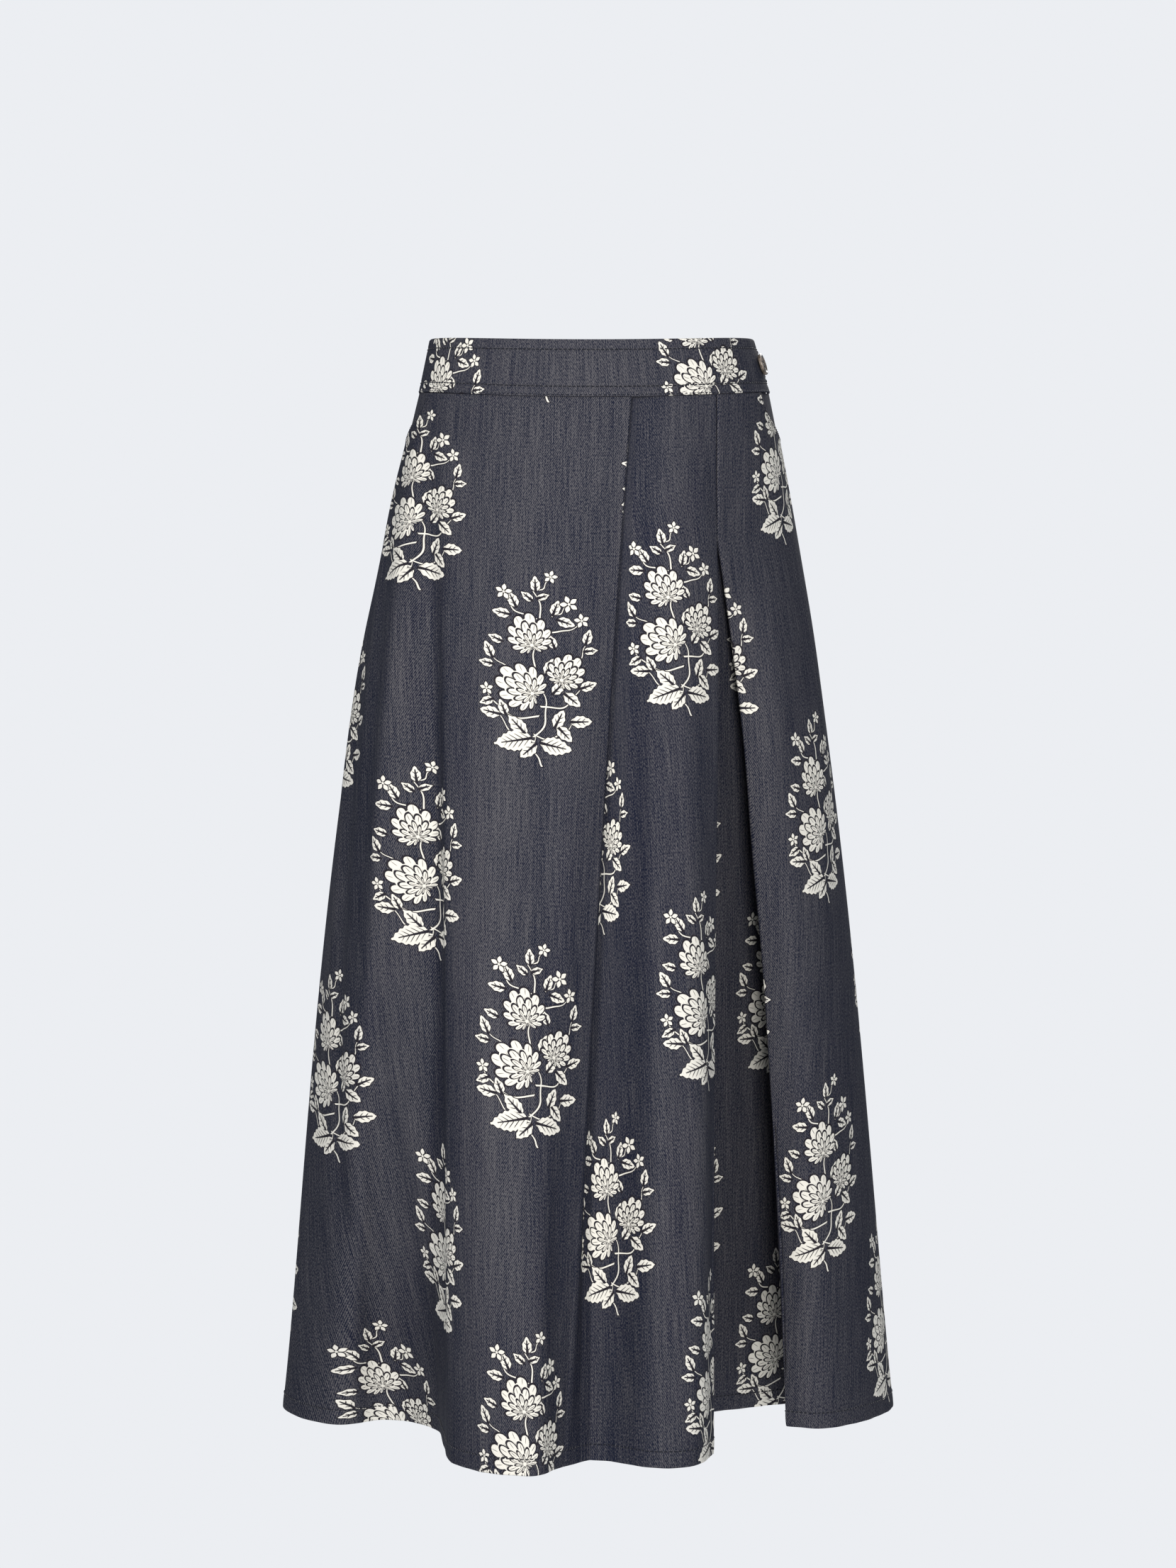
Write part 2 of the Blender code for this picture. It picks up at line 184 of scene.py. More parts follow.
def section_lines(folds, t):
    """Array (heights, columns, 5): x, y, z, degrees, layer.

    A round is (1-s)^2 start + 2s(1-s) fold + s^2 end."""
    by_name = {fold.name: fold for fold in folds}
    places = np.stack([fold_path(fold, by_name, t) for fold in folds], axis=1)
    tags = np.array([(fold.waist, fold.layer) for fold in folds], dtype=float)[None]
    places = np.concatenate([places, np.broadcast_to(tags, (*places.shape[:2], 2))], axis=2)
    here = places[:, 1:-1]
    radius = np.array([fold.radius for fold in folds[1:-1]])[None, :, None]
    ends = []
    for way in (places[:, :-2] - here, places[:, 2:] - here):
        length = np.linalg.norm(way[..., :2], axis=2, keepdims=True)
        ends.append(here + way * np.minimum(0.5, radius / np.maximum(length, 1e-6)))
    lines = [places[:, :1]]
    for i, fold in enumerate(folds[1:-1]):
        start, corner, end = ends[0][:, i], here[:, i], ends[1][:, i]
        lines.append(stretch(lines[-1][:, -1], start))
        steps = max(FEWEST_STEPS, math.ceil(longest(start, corner, end) / SPACING))
        s = (np.arange(1, steps + 1) / steps)[None, :, None]
        round_part = (1 - s) ** 2 * start[:, None] + 2 * s * (1 - s) * corner[:, None] + s**2 * end[:, None]
        lines.append(round_part)
    lines.append(stretch(lines[-1][:, -1], places[:, -1]))
    return np.concatenate(lines, axis=1)


def longest(*points):
    """Length of the way through these points, at the height where it is longest."""
    steps = [np.linalg.norm((b - a)[:, :2], axis=1) for a, b in zip(points, points[1:])]
    return float(np.max(sum(steps)))


def stretch(start, end):
    """A straight stretch cut into even steps, without its first point; nothing if it has no length."""
    steps = math.ceil(longest(start, end) / SPACING - STEP_SLACK)
    share = (np.arange(1, steps + 1) / max(steps, 1))[None, :, None]
    return start[:, None] + (end - start)[:, None] * share


# %% Normals, and reading between columns
def normals(lines):
    """Level unit normals of section lines, pointing out: across the bisector of each point's two steps."""
    steps = np.diff(lines[..., :2], axis=-2)
    steps = steps / np.maximum(np.linalg.norm(steps, axis=-1, keepdims=True), 1e-9)
    both = steps[..., :-1, :] + steps[..., 1:, :]
    along = np.concatenate([steps[..., :1, :], both, steps[..., -1:, :]], axis=-2)
    along = along / np.linalg.norm(along, axis=-1, keepdims=True)
    return np.stack([along[..., 1], -along[..., 0], np.zeros(along.shape[:-1])], axis=-1)


def read_at(lines, index):
    """The lines read at fractional column numbers: each pair of neighbours mixed by the fraction."""
    whole = np.clip(np.floor(index).astype(int), 0, lines.shape[1] - 2)
    part = (index - whole)[..., None]
    low = np.take_along_axis(lines, whole[..., None], axis=1)
    high = np.take_along_axis(lines, whole[..., None] + 1, axis=1)
    return low + (high - low) * part


# %% [markdown]
# ## Cloth coordinates
# Print and weave belong to the flat cloth and not to the air around it, so every point gets its place on
# the cut cloth: how far it lies along the section line from the panel's grain line, and how far down from
# the waist seam. A tuck hides more cloth at the waist than at the hem, so some stretches count for more or
# less than their drawn length. The pleat's floor and the part beyond it are joined on by seams hidden in
# the pleat, so each starts its own count, with its own grain line.

# %% Cloth coordinates of a panel
Ease = namedtuple("Ease", "start end at_waist at_middle at_hem")
FRONT_EASES = (
    Ease("right side seam", "outer lobe crest", 0.5, 0.58, 0.5),
    Ease("outer lobe crest", "valley floor", 0.62, 0.9, 0.83),
    Ease("valley floor", "main lobe edge", 0.75, 0.77, 0.58),
    Ease("main lobe edge", "main lobe crest", 0.88, 1.0, 1.0),
    Ease("main lobe crest", "tuck edge", 0.88, 1.0, 1.0),
    Ease("tuck edge", "tuck out", 2.2, 1.8, 0.95),
)
Part = namedtuple("Part", "start grain at_waist at_middle at_hem down")
FRONT_PARTS = (
    Part("right side seam", "main lobe crest", 3, 3, 0, 0),
    Part("pleat floor left", "pleat floor", -50, -50, -40, 19),
    Part("pleat right inner", "pleat right edge", -75, -62, -22, -113),
)
BACK_PARTS = (Part("left side seam", "centre dip left", 20, 20, 20, 96),)


def fold_columns(folds, lines, t):
    """The column that runs nearest to each fold, by the fold's name."""
    by_name = {fold.name: fold for fold in folds}
    places = np.stack([fold_path(fold, by_name, t) for fold in folds], axis=1)
    away = np.linalg.norm(lines[:, :, None, :2] - places[:, None, :, :2], axis=3).mean(axis=0)
    return {fold.name: int(column) for fold, column in zip(folds, np.argmin(away, axis=0))}


def by_height(row, t):
    """A table row's three values, read straight between waist, middle and hem."""
    return np.interp(t, (0, 0.5, 1), (row.at_waist, row.at_middle, row.at_hem))


# %% Lengths along and down the cloth
def added_up(steps, axis):
    """Running sum of steps along an axis, from 0 at the first point."""
    return np.concatenate([np.zeros_like(np.take(steps, [0], axis)), np.cumsum(steps, axis)], axis)


def path_length(path):
    """Length along a path's points, from 0 at the first."""
    return added_up(np.linalg.norm(np.diff(path, axis=0), axis=-1), 0)


def cloth_places(folds, lines, t, eases, parts):
    """Array (heights, columns, 2): eased length across from each part's grain line, and length down."""
    steps = np.linalg.norm(np.diff(lines[..., :3], axis=1), axis=2)
    at = fold_columns(folds, lines, t)
    for ease in eases:
        steps[:, at[ease.start] : at[ease.end]] *= by_height(ease, t)[:, None]
    length = added_up(steps, 1)
    across = np.empty_like(length)
    down = path_length(lines[..., :3])
    for part, following in zip(parts, parts[1:] + (None,)):
        columns = slice(at[part.start], at[following.start] if following else None)
        shift = by_height(part, t) - length[:, at[part.grain]]
        across[:, columns] = length[:, columns] + shift[:, None]
        down[:, columns] += part.down
    return np.stack([across, down], axis=-1)


# %% [markdown]
# ## Arithmetic on a surface
# The print is drawn by formulas, so it stays sharp at any distance and needs no picture. Hundreds of Math
# nodes wired by hand would be unreadable. A small class lets a node's output be added, compared or folded
# like a number, and every such step lays one Math node.

# %% Fields: numbers over a surface
class Field:
    """A value over the surface. Arithmetic on fields lays Math nodes in their tree."""

    def __init__(self, tree, socket):
        self.tree = tree
        self.socket = socket

    def step(self, operation, *others, clamp=False):
        node = self.tree.nodes.new("ShaderNodeMath")
        node.operation = operation
        node.use_clamp = clamp
        for i, value in enumerate((self, *others)):
            plug(self.tree, value, node.inputs[i])
        return Field(self.tree, node.outputs[0])

    def __add__(self, other):
        return self.step("ADD", other)

    def __sub__(self, other):
        return self.step("SUBTRACT", other)

    def __rsub__(self, other):
        return (self * -1) + other

    def __mul__(self, other):
        return self.step("MULTIPLY", other)

    def __truediv__(self, other):
        return self.step("DIVIDE", other)

    def __pow__(self, other):
        return self.step("POWER", other)

    def __lt__(self, other):
        return self.step("LESS_THAN", other)

    __radd__ = __add__
    __rmul__ = __mul__

    def soft_below(self, limit, width):
        """1 below the limit and 0 above it, with a straight ramp of this width between."""
        return ((limit - self) / width).step("ADD", 0.5, clamp=True)

    def near_line(self, pitch):
        """Distance to the nearest whole multiple of the pitch."""
        return self.step("PINGPONG", pitch / 2)

    def mixed(self, other, share):
        """This field where share is 0, the other where it is 1."""
        return self + (other - self) * share


# %% Nodes and groups
def plug(tree, value, socket):
    """Feeds a socket from a field, another socket or a plain number."""
    if isinstance(value, Field):
        value = value.socket
    if isinstance(value, bpy.types.NodeSocket):
        tree.links.new(value, socket)
    else:
        socket.default_value = value


def node(tree, kind, inputs=None, **settings):
    """A new node with its settings and inputs, given by the sockets' names or numbers."""
    made = tree.nodes.new("ShaderNode" + kind)
    for name, value in settings.items():
        setattr(made, name, value)
    for name, value in (inputs or {}).items():
        plug(tree, value, made.inputs[name])
    return made


def fields(tree, vector, count=3):
    """The first parts of a vector, as fields."""
    outputs = node(tree, "SeparateXYZ", {0: vector}).outputs
    return [Field(tree, outputs[i]) for i in range(count)]


def new_group(name, inputs, outputs):
    """An empty shader group: inputs are (name, kind, value) and outputs (name, kind)."""
    group = bpy.data.node_groups.new(name, "ShaderNodeTree")
    for label, kind, value in inputs:
        socket = group.interface.new_socket(label, in_out="INPUT", socket_type="NodeSocket" + kind)
        socket.default_value = value
    for label, kind in outputs:
        group.interface.new_socket(label, in_out="OUTPUT", socket_type="NodeSocket" + kind)
    return group, group.nodes.new("NodeGroupInput"), group.nodes.new("NodeGroupOutput")


# %% [markdown]
# ## The flowering spray
# The print repeats one upright spray, about 80 mm wide and 145 mm tall: a winding stem, serrated leaves, a
# large blossom, two smaller ones and a few stars, in cream with dark outlines. The arrangement is this
# lesson's own. Each table row is one element, in millimetres from the spray's middle, y up. An image would
# need tracing and would blur close up, so every element is a formula instead.

# %% Elements of the spray
Leaf = namedtuple("Leaf", "x y turn half")  # x and y of its stalk, and half its length
LEAVES = (
    Leaf(-1, -50, 196, 13.5),
    Leaf(2, -54, 226, 8.0),
    Leaf(5, -53, -10, 11.5),
    Leaf(-5, -48, 134, 9.0),
    Leaf(26, -36, 4, 8.0),
    Leaf(15, -41, 66, 7.5),
    Leaf(17, -40, -46, 7.5),
    Leaf(-23, -35, 174, 7.5),
    Leaf(-19, -35, 112, 6.0),
    Leaf(32, -11, 22, 6.5),
    Leaf(21, -15, -38, 7.5),
    Leaf(13, -16, 50, 6.5),
    Leaf(8, -2, 66, 7.0),
    Leaf(-29, 7, 116, 6.5),
    Leaf(-28, 2, 174, 5.5),
    Leaf(35, 22, 76, 6.0),
    Leaf(34, 17, 8, 5.0),
    Leaf(14, 18, 112, 5.5),
    Leaf(15, 40, -18, 6.5),
    Leaf(12, 43, 72, 6.0),
    Leaf(-17, 41, 172, 6.5),
    Leaf(-13, 47, 116, 6.5),
    Leaf(0, 60, 94, 6.0),
    Leaf(1, 55, 22, 4.5),
    Leaf(-2, 53, 142, 5.0),
    Leaf(-22, 20, 160, 5.5),
    Leaf(-28, -24, 206, 5.5),
)
LEAF_WIDTH = 0.55  # half-width over half-length

Star = namedtuple("Star", "x y turn radius")
STARS = (
    Star(-22, 58, 12, 6.0),
    Star(23, 52, 40, 6.5),
    Star(-33, -17, 25, 5.0),
    Star(10, 72, 5, 5.0),
    Star(32, 40, 30, 5.5),
)

Blossom = namedtuple("Blossom", "x y turn radius")
BLOSSOMS = (
    Blossom(-13, -10, 150, 17.0),
    Blossom(-5, 31, 104, 15.0),
    Blossom(24, 4, 62, 13.0),
)

Stem = namedtuple("Stem", "x y end_x end_y bow")
STEMS = (
    Stem(7, -70, 1, -48, 3.0),
    Stem(1, -49, 5, -14, -6.0),
    Stem(5, -15, 2, 22, 4.0),
    Stem(2, 22, -1, 60, -3.5),
    Stem(1, -52, -24, -35, 4.5),
    Stem(1, -48, 27, -36, -6.5),
    Stem(5, -26, 32, -11, -6.5),
    Stem(3, -34, -32, -19, 8.0),
    Stem(-14, -10, -30, 8, -3.0),
    Stem(24, 6, 35, 23, -3.0),
    Stem(1, 36, 31, 39, -7.0),
    Stem(1, 40, -21, 57, 5.0),
    Stem(12, 42, 23, 52, -1.0),
    Stem(0, 60, 10, 72, -1.5),
)
STEM_WIDTH = 0.68

SPRAY_ACROSS = 95.0  # from one column of sprays to the next
SPRAY_DOWN = 277.0  # from one spray to the next below it
SPRAY_STEP = 120.0  # how much lower each column starts than the one before
PANEL_PRINT = 0.211  # metres down to the first spray on the panels' grain line, and below on the band's
BAND_PRINT = -0.099
OUTLINE = 0.75  # width of the dark line round each shape
EDGE_BLUR = 0.35
THOUSAND = 1000.0  # an element's size rides along as a thousandth, too small to alter a distance


# %% Finding the nearest element
def seen_from(tree, place, x, y, turn, long, wide):
    """The place (x, y, 1) seen from an element, as (along / long, across / wide, long / 1000)."""
    c, s = math.cos(math.radians(turn)), math.sin(math.radians(turn))
    rows = ((c / long, s / long, -(x * c + y * s) / long), (-s / wide, c / wide, (x * s - y * c) / wide))
    dots = [node(tree, "VectorMath", {0: place, 1: row}, operation="DOT_PRODUCT").outputs["Value"]
            for row in rows]
    return node(tree, "CombineXYZ", {0: dots[0], 1: dots[1], 2: long / THOUSAND}).outputs[0]


def nearest(tree, place, rows, ratio):
    """Of several elements, the one whose ellipse holds the place deepest, as fields along, across, size."""
    best, least = None, None
    for x, y, turn, size in rows:
        local = seen_from(tree, place, x, y, turn, size, size * ratio)
        away = Field(tree, node(tree, "VectorMath", {0: local}, operation="LENGTH").outputs["Value"])
        if best is None:
            best, least = local, away
            continue
        mix = node(tree, "Mix", data_type="VECTOR", factor_mode="UNIFORM")
        plug(tree, away < least, mix.inputs["Factor"])
        plug(tree, best, mix.inputs[4])
        plug(tree, local, mix.inputs[5])
        best, least = mix.outputs[1], least.step("MINIMUM", away)
    along, across, size = fields(tree, best)
    return along, across, size * THOUSAND


# %% Leaves
SERRATION = 0.07  # depth of a leaf's teeth, over its half-width
TEETH = 1.5  # radians of their wave to a millimetre
MIDRIB_BASE, MIDRIB_TIP = 1.15, 0.2  # half-width of the midrib at the stalk and at the tip
MIDRIB_END = 0.62  # where it stops, from -1 at the stalk to 1 at the tip
VEIN_PITCH = 3.9
VEIN_HALF = 0.45
VEIN_LEAN = 0.6  # how far the side veins run forward on their way out
VEIN_REACH = 0.62  # how far out they go, over the leaf's edge
VEIN_END = 0.45
VEIN_CRISP = 1.2  # above 1 a vein's edge is crisper than the midrib's


def leaf_field(tree, place):
    """A leaf is |across| < width * sin(pi s ** 0.8) ** 0.9, s from 0 at the stalk to 1 at the tip.

    Gives the distance outside it in millimetres, and its midrib and side veins, which run out and forward."""
    middles = []
    for x, y, turn, half in LEAVES:
        angle = math.radians(turn)
        middles.append((x + half * math.cos(angle), y + half * math.sin(angle), turn, half))
    along, across, half = nearest(tree, place, middles, LEAF_WIDTH)
    across = across.step("ABSOLUTE")
    share = (along * 0.5 + 0.5).step("MAXIMUM", 0.0).step("MINIMUM", 1.0)
    serrated = (along * half * TEETH).step("SINE") * SERRATION
    profile = ((share**0.8) * math.pi).step("SINE") ** 0.9 + serrated
    beyond = along.step("ABSOLUTE") - 1.0
    outside = ((across - profile) * half * LEAF_WIDTH).step("MAXIMUM", beyond * half)
    midrib = across * half * LEAF_WIDTH - (MIDRIB_BASE - (MIDRIB_BASE - MIDRIB_TIP) * share)
    midrib = midrib.step("MAXIMUM", (along - MIDRIB_END) * half)
    side = ((along - across * VEIN_LEAN) * half).near_line(VEIN_PITCH) - VEIN_HALF
    vein = side.step("MAXIMUM", across - profile * VEIN_REACH).step("MAXIMUM", along - VEIN_END)
    return outside, midrib.step("MINIMUM", vein * VEIN_CRISP)


# %% Stars
STAR_PETALS = 5
STAR_INNER = 0.16  # where the petals start, over the star's radius
STAR_PETAL_HALF = 0.25
STAR_HEART = 0.14


def star_field(tree, place):
    """Lens petals: the angle is folded to one, which is |across| < 0.25 sin(pi q) for q from 0 to 1."""
    x, y, radius = nearest(tree, place, STARS, 1.0)
    away = (x * x + y * y) ** 0.5
    folded = y.step("ARCTAN2", x).near_line(math.tau / STAR_PETALS)
    across = folded.step("SINE") * away
    along = folded.step("COSINE") * away
    share = ((along - STAR_INNER) / (1 - STAR_INNER)).step("MAXIMUM", 0.0).step("MINIMUM", 1.0)
    petal = (across - (share * math.pi).step("SINE") * STAR_PETAL_HALF) * radius
    petal = petal.step("MAXIMUM", (along - 1.0) * radius).step("MAXIMUM", (STAR_INNER - along) * radius)
    return petal.step("MINIMUM", (away - STAR_HEART) * radius)


# %% Blossoms
PETAL_BANDS = 4.0
PETALS = 14 / math.tau  # in a band, for each radian
FAN_BASE = 0.8  # how far behind a blossom's middle its petals open from, over its radius
FAN_PULL = 0.27  # how much sooner the bands end for each radian away from the fan's middle
PETAL_ROUND = 4.5
PETAL_LONG = 0.84  # how far out through its band a petal reaches
PETAL_EDGE = 0.97
RIM_HALF = 0.82  # half-width of the dark line between petals
STREAK_HALF = 0.24
STREAK_START, STREAK_END = 0.1, 0.56
STREAK_SPREAD = 0.3
ROW_TURN = 0.13  # how far each band is turned on from the one before, in cells
SLOPE = 0.9  # brings a scallop's own measure to millimetres, over the band's width
HEART = 1.3
WELL_INSIDE = 50.0  # takes every band but the last off the blossom's outline


def blossom_field(tree, place):
    """Scalloped bands of petals that open like a fan from a base off the blossom's middle.

    The bands are cut into cells by angle, every other band half a cell round. With c across a cell and f out
    through its band, a petal's edge is where sqrt(4.5 c^2 + (f / 0.84)^2) = 0.97."""
    x, y, radius = nearest(tree, place, BLOSSOMS, 1.0)
    along = x + FAN_BASE
    away = (along * along + y * y) ** 0.5
    angle = y.step("ARCTAN2", along)
    q = away * (PETAL_BANDS / (1 + FAN_BASE)) + angle.step("ABSOLUTE") * (PETAL_BANDS * FAN_PULL)
    last = PETAL_BANDS - 1.0
    row = q.step("FLOOR").step("MINIMUM", last)
    cell = angle * PETALS + row.step("MODULO", 2.0) * 0.5 + row * ROW_TURN
    c = cell.step("FRACT") - 0.5
    f = q - row
    scallop = (c * c * PETAL_ROUND + (f / PETAL_LONG) ** 2.0) ** 0.5 - PETAL_EDGE
    band = radius * ((1 + FAN_BASE) / PETAL_BANDS)
    rim = scallop.step("ABSOLUTE") * band * SLOPE - RIM_HALF
    streak = (cell * 2.0).near_line(1.0) * away * radius * STREAK_SPREAD - STREAK_HALF
    streak = streak.step("MAXIMUM", f - STREAK_END).step("MAXIMUM", STREAK_START - f)
    outside = scallop * band * SLOPE + (row - last) * WELL_INSIDE
    heart = away * radius - HEART
    return outside, rim.step("MINIMUM", streak).step("MAXIMUM", heart * -1.0)


# %% Stems
STEM_WAVE = 0.9  # how far a stem winds to either side of its parabola
STEM_TURNS = 5.0  # radians of the winding from a stem's middle to its end
STEM_TAPER = 0.2  # how much thinner than its middle a stem ends, and how much thicker it starts
SHORT_STEM = 9.0  # half-length past which a stem grows thicker, by the swell for each millimetre
STEM_SWELL = 0.02


def stem_field(tree, place):
    """Distance to the nearest stem: each is a wavy parabola, across = bow (1 - a^2) for a from -1 to 1."""
    least = None
    for stem in STEMS:
        way_x, way_y = stem.end_x - stem.x, stem.end_y - stem.y
        half = math.hypot(way_x, way_y) / 2
        turn = math.degrees(math.atan2(way_y, way_x))
        local = seen_from(tree, place, stem.x + way_x / 2, stem.y + way_y / 2, turn, half, 1)
        a, b = fields(tree, local, 2)
        wave = (a * STEM_TURNS + stem.x).step("SINE") * STEM_WAVE
        swell = min(STEM_TAPER, (half - SHORT_STEM) * STEM_SWELL)
        away = (b - (1.0 - a * a) * stem.bow - wave).step("ABSOLUTE") + (a * STEM_TAPER - swell)
        away = away.step("MAXIMUM", (a.step("ABSOLUTE") - 1.0) * half)
        least = away if least is None else least.step("MINIMUM", away)
    return least - STEM_WIDTH / 2


# %% [markdown]
# The elements lie over one another like paper shapes: each has a cream face with a dark line round it, and
# covers what lies below. The group repeats the spray over the cloth and hands out two masks.

# %% The spray as one group
def spray_group():
    """The print as a group: cloth place in metres in; cream and dark masks out."""
    inputs = (("Cloth", "Vector", (0, 0, 0)), ("First row", "Float", PANEL_PRINT))
    group, start, end = new_group("flower_spray_print", inputs, (("Cream", "Float"), ("Dark", "Float")))
    across, down = fields(group, start.outputs["Cloth"], 2)
    column = (across / (SPRAY_ACROSS * MM)).step("ROUND")
    x = (across - column * (SPRAY_ACROSS * MM)) / MM
    below = down - Field(group, start.outputs["First row"]) - column * (SPRAY_STEP * MM)
    repeats = below / (SPRAY_DOWN * MM)
    y = (repeats - repeats.step("ROUND")) * -SPRAY_DOWN
    place = node(group, "CombineXYZ", {0: x, 1: y, 2: 1.0}).outputs[0]
    cream, dark = None, None
    leaves, veins = leaf_field(group, place)
    blossoms, petals = blossom_field(group, place)
    stars = star_field(group, place)
    stems = stem_field(group, place)
    for outside, lines in ((stems, None), (leaves, veins), (blossoms, petals), (stars, None)):
        shape = outside.soft_below(0, EDGE_BLUR)
        if lines is not None:
            shape = shape * (1.0 - lines.soft_below(0, EDGE_BLUR))
        cover = outside.soft_below(OUTLINE, EDGE_BLUR)
        cream = shape if cream is None else cream.mixed(shape, cover)
        dark = cover if dark is None else dark.step("MAXIMUM", cover)
    plug(group, cream, end.inputs["Cream"])
    plug(group, dark, end.inputs["Dark"])
    print("print group:", len(group.nodes), "nodes")
    return group


spray = spray_group()


# %% [markdown]
# ## The denim
# A washed, dark denim: indigo warp crossed by a pale weft, which shows as fine flecks along the twill's
# diagonal. Slubs in the warp make faint upright streaks, and dye never takes evenly over a whole panel.
# All of it follows the cloth's own map, so it turns with every fold.

# %% The denim group
TWILL_PITCH = 1.17  # from one twill line to the next, across them
TWILL_TURN = math.radians(60)
TWILL_SHARE = 0.6  # how much of the weft mask, and of the height, the twill's wave makes
WEFT_OFFSET = 0.30  # brings the mask's mean back to the share that is asked for

Grain = namedtuple("Grain", "wide tall detail share height")
GRAINS = (
    Grain(0.9, 1.7, 1.0, 1.5, 0.8),  # flecks
    Grain(0.9, 42.0, 2.0, 0.9, 0.9),  # slubs
    Grain(11.0, 170.0, 2.0, 0.3, 0),  # wash bands
    Grain(90.0, 120.0, 2.0, 0.2, 0),  # uneven dye
)


def mix_colours(tree, below, above, mask, blend="MIX"):
    """The colour below, covered or multiplied by the one above where the mask is 1."""
    mix = node(tree, "Mix", data_type="RGBA", blend_type=blend)
    for place, value in ((0, mask), (6, below), (7, above)):
        plug(tree, value, mix.inputs[place])
    return mix.outputs[2]


def denim_group():
    """Weft mask and height: the twill's wave plus share (or height) times each grain's noise.

    The colour runs from warp to weft by the mask."""
    inputs = (("Cloth", "Vector", (0, 0, 0)), ("Warp", "Color", (0.02, 0.022, 0.036, 1)),
              ("Weft", "Color", (0.2, 0.2, 0.22, 1)), ("Weft share", "Float", 0.42))
    group, start, end = new_group("washed_denim", inputs, (("Color", "Color"), ("Height", "Float")))
    cloth = start.outputs["Cloth"]
    across, down = fields(group, cloth, 2)
    over = (across * math.sin(TWILL_TURN) + down * math.cos(TWILL_TURN)) / (TWILL_PITCH * MM)
    twill = (over * math.tau).step("SINE") * 0.5 + 0.5

    weft = height = twill * TWILL_SHARE
    for grain in GRAINS:
        size = (1 / (grain.wide * MM), 1 / (grain.tall * MM), 0)
        scaled = node(group, "VectorMath", {0: cloth, 1: size}, operation="MULTIPLY").outputs[0]
        made = node(group, "TexNoise", {"Vector": scaled, "Scale": 1.0, "Detail": grain.detail},
                    noise_dimensions="2D")
        noise = Field(group, made.outputs[0]) - 0.5
        weft = weft + noise * grain.share
        if grain.height:
            height = height + noise * grain.height
    weft = (weft + Field(group, start.outputs["Weft share"]) - WEFT_OFFSET).step("ADD", 0.0, clamp=True)
    colour = mix_colours(group, start.outputs["Warp"], start.outputs["Weft"], weft)
    plug(group, colour, end.inputs["Color"])
    plug(group, height, end.inputs["Height"])
    return group


denim_weave = denim_group()
print("denim group:", len(denim_weave.nodes), "nodes")

# %% [markdown]
# ## Finishes
# The face is matt. The print soaks into the yarns, so the twill shows through the cream. A second map
# paints shade into the denim's colour: less weft shows where the cloth turns away from its panel's front, in
# a crease's trough and on the cloth that comes out from under the tuck, and more on a crease's ridge, a
# painted highlight. It is fixed to the cloth. The reverse side is paler and bare, because more weft lies on
# it.

# %% Materials of cloth
def surface_material(name, roughness, sheen=0.0, specular=0.12):
    """A material with its Principled shader, and constants on the shader's own sockets."""
    material = bpy.data.materials.new(name)
    material.use_nodes = True
    shader = material.node_tree.nodes["Principled BSDF"]
    shader.inputs["Roughness"].default_value = roughness
    shader.inputs["Sheen Weight"].default_value = sheen
    shader.inputs["Sheen Roughness"].default_value = 0.45
    shader.inputs["Specular IOR Level"].default_value = specular
    return material, material.node_tree, shader


def add_group(tree, group, inputs):
    """A group placed in a material's tree, with its inputs by name."""
    placed = tree.nodes.new("ShaderNodeGroup")
    placed.node_tree = group
    for label, value in inputs.items():
        plug(tree, value, placed.inputs[label])
    return placed.outputs


def bump(tree, shader, height, distance, strength):
    """Feeds the shader's normal from a height; a height of 1 stands for the distance, in metres."""
    made = node(tree, "Bump", {"Height": height, "Distance": distance, "Strength": strength})
    plug(tree, made.outputs[0], shader.inputs["Normal"])


# %% Denim, printed or bare
CREAM = (0.77, 0.745, 0.675, 1)
OUTLINE_INK = (0.012, 0.010, 0.014, 1)
OUTLINE_COVER = 0.85
YARN_THROUGH = 0.16  # how much of the yarns' colour shows through the cream
WEAVE_HEIGHT = 0.3 * MM
# Painted shade: the weft share falls by up to this much where the cloth turns away from its panel's front.
PAINTED_FLANK_SHADE = 0.32  # how much less weft shows on the flank of a fold than on its crest


def denim_material(name, warp, weft, share, printed=None, layout=None):
    """Denim from the weave group. If printed, dark ink and then cream lie over it, and shade is painted in.

    A layout moves the print's places and says where it is shown."""
    material, tree, shader = surface_material(name, roughness=0.9)
    cloth = node(tree, "UVMap", uv_map="cloth").outputs[0]
    if printed:
        # Painted shade: the second map lowers the weft share, and so darkens the cloth, where it turns away
        # or lies in a trough.
        square = fields(tree, node(tree, "UVMap", uv_map="painted_shade").outputs[0], 1)[0]
        share = square * PAINTED_FLANK_SHADE + (share - PAINTED_FLANK_SHADE)
    weave = add_group(tree, denim_weave, {"Cloth": cloth, "Warp": warp, "Weft": weft, "Weft share": share})
    colour = weave["Color"]
    if printed:
        place, shown = layout(tree, cloth) if layout else (cloth, 1.0)
        masks = add_group(tree, spray, {"Cloth": place, "First row": printed})
        cream, dark = Field(tree, masks["Cream"]) * shown, Field(tree, masks["Dark"]) * shown
        ink = mix_colours(tree, CREAM, colour, YARN_THROUGH, "MULTIPLY")
        colour = mix_colours(tree, colour, OUTLINE_INK, dark * OUTLINE_COVER)
        colour = mix_colours(tree, colour, ink, cream)
    plug(tree, colour, shader.inputs["Base Color"])
    bump(tree, shader, weave["Height"], WEAVE_HEIGHT, strength=0.6)
    return material


# %% The print's own layout on the band
BAND_MIDDLE = -0.021  # metres round from the grain line
BAND_SHIFT_LEFT, BAND_SHIFT_RIGHT = 0.032, 0.008


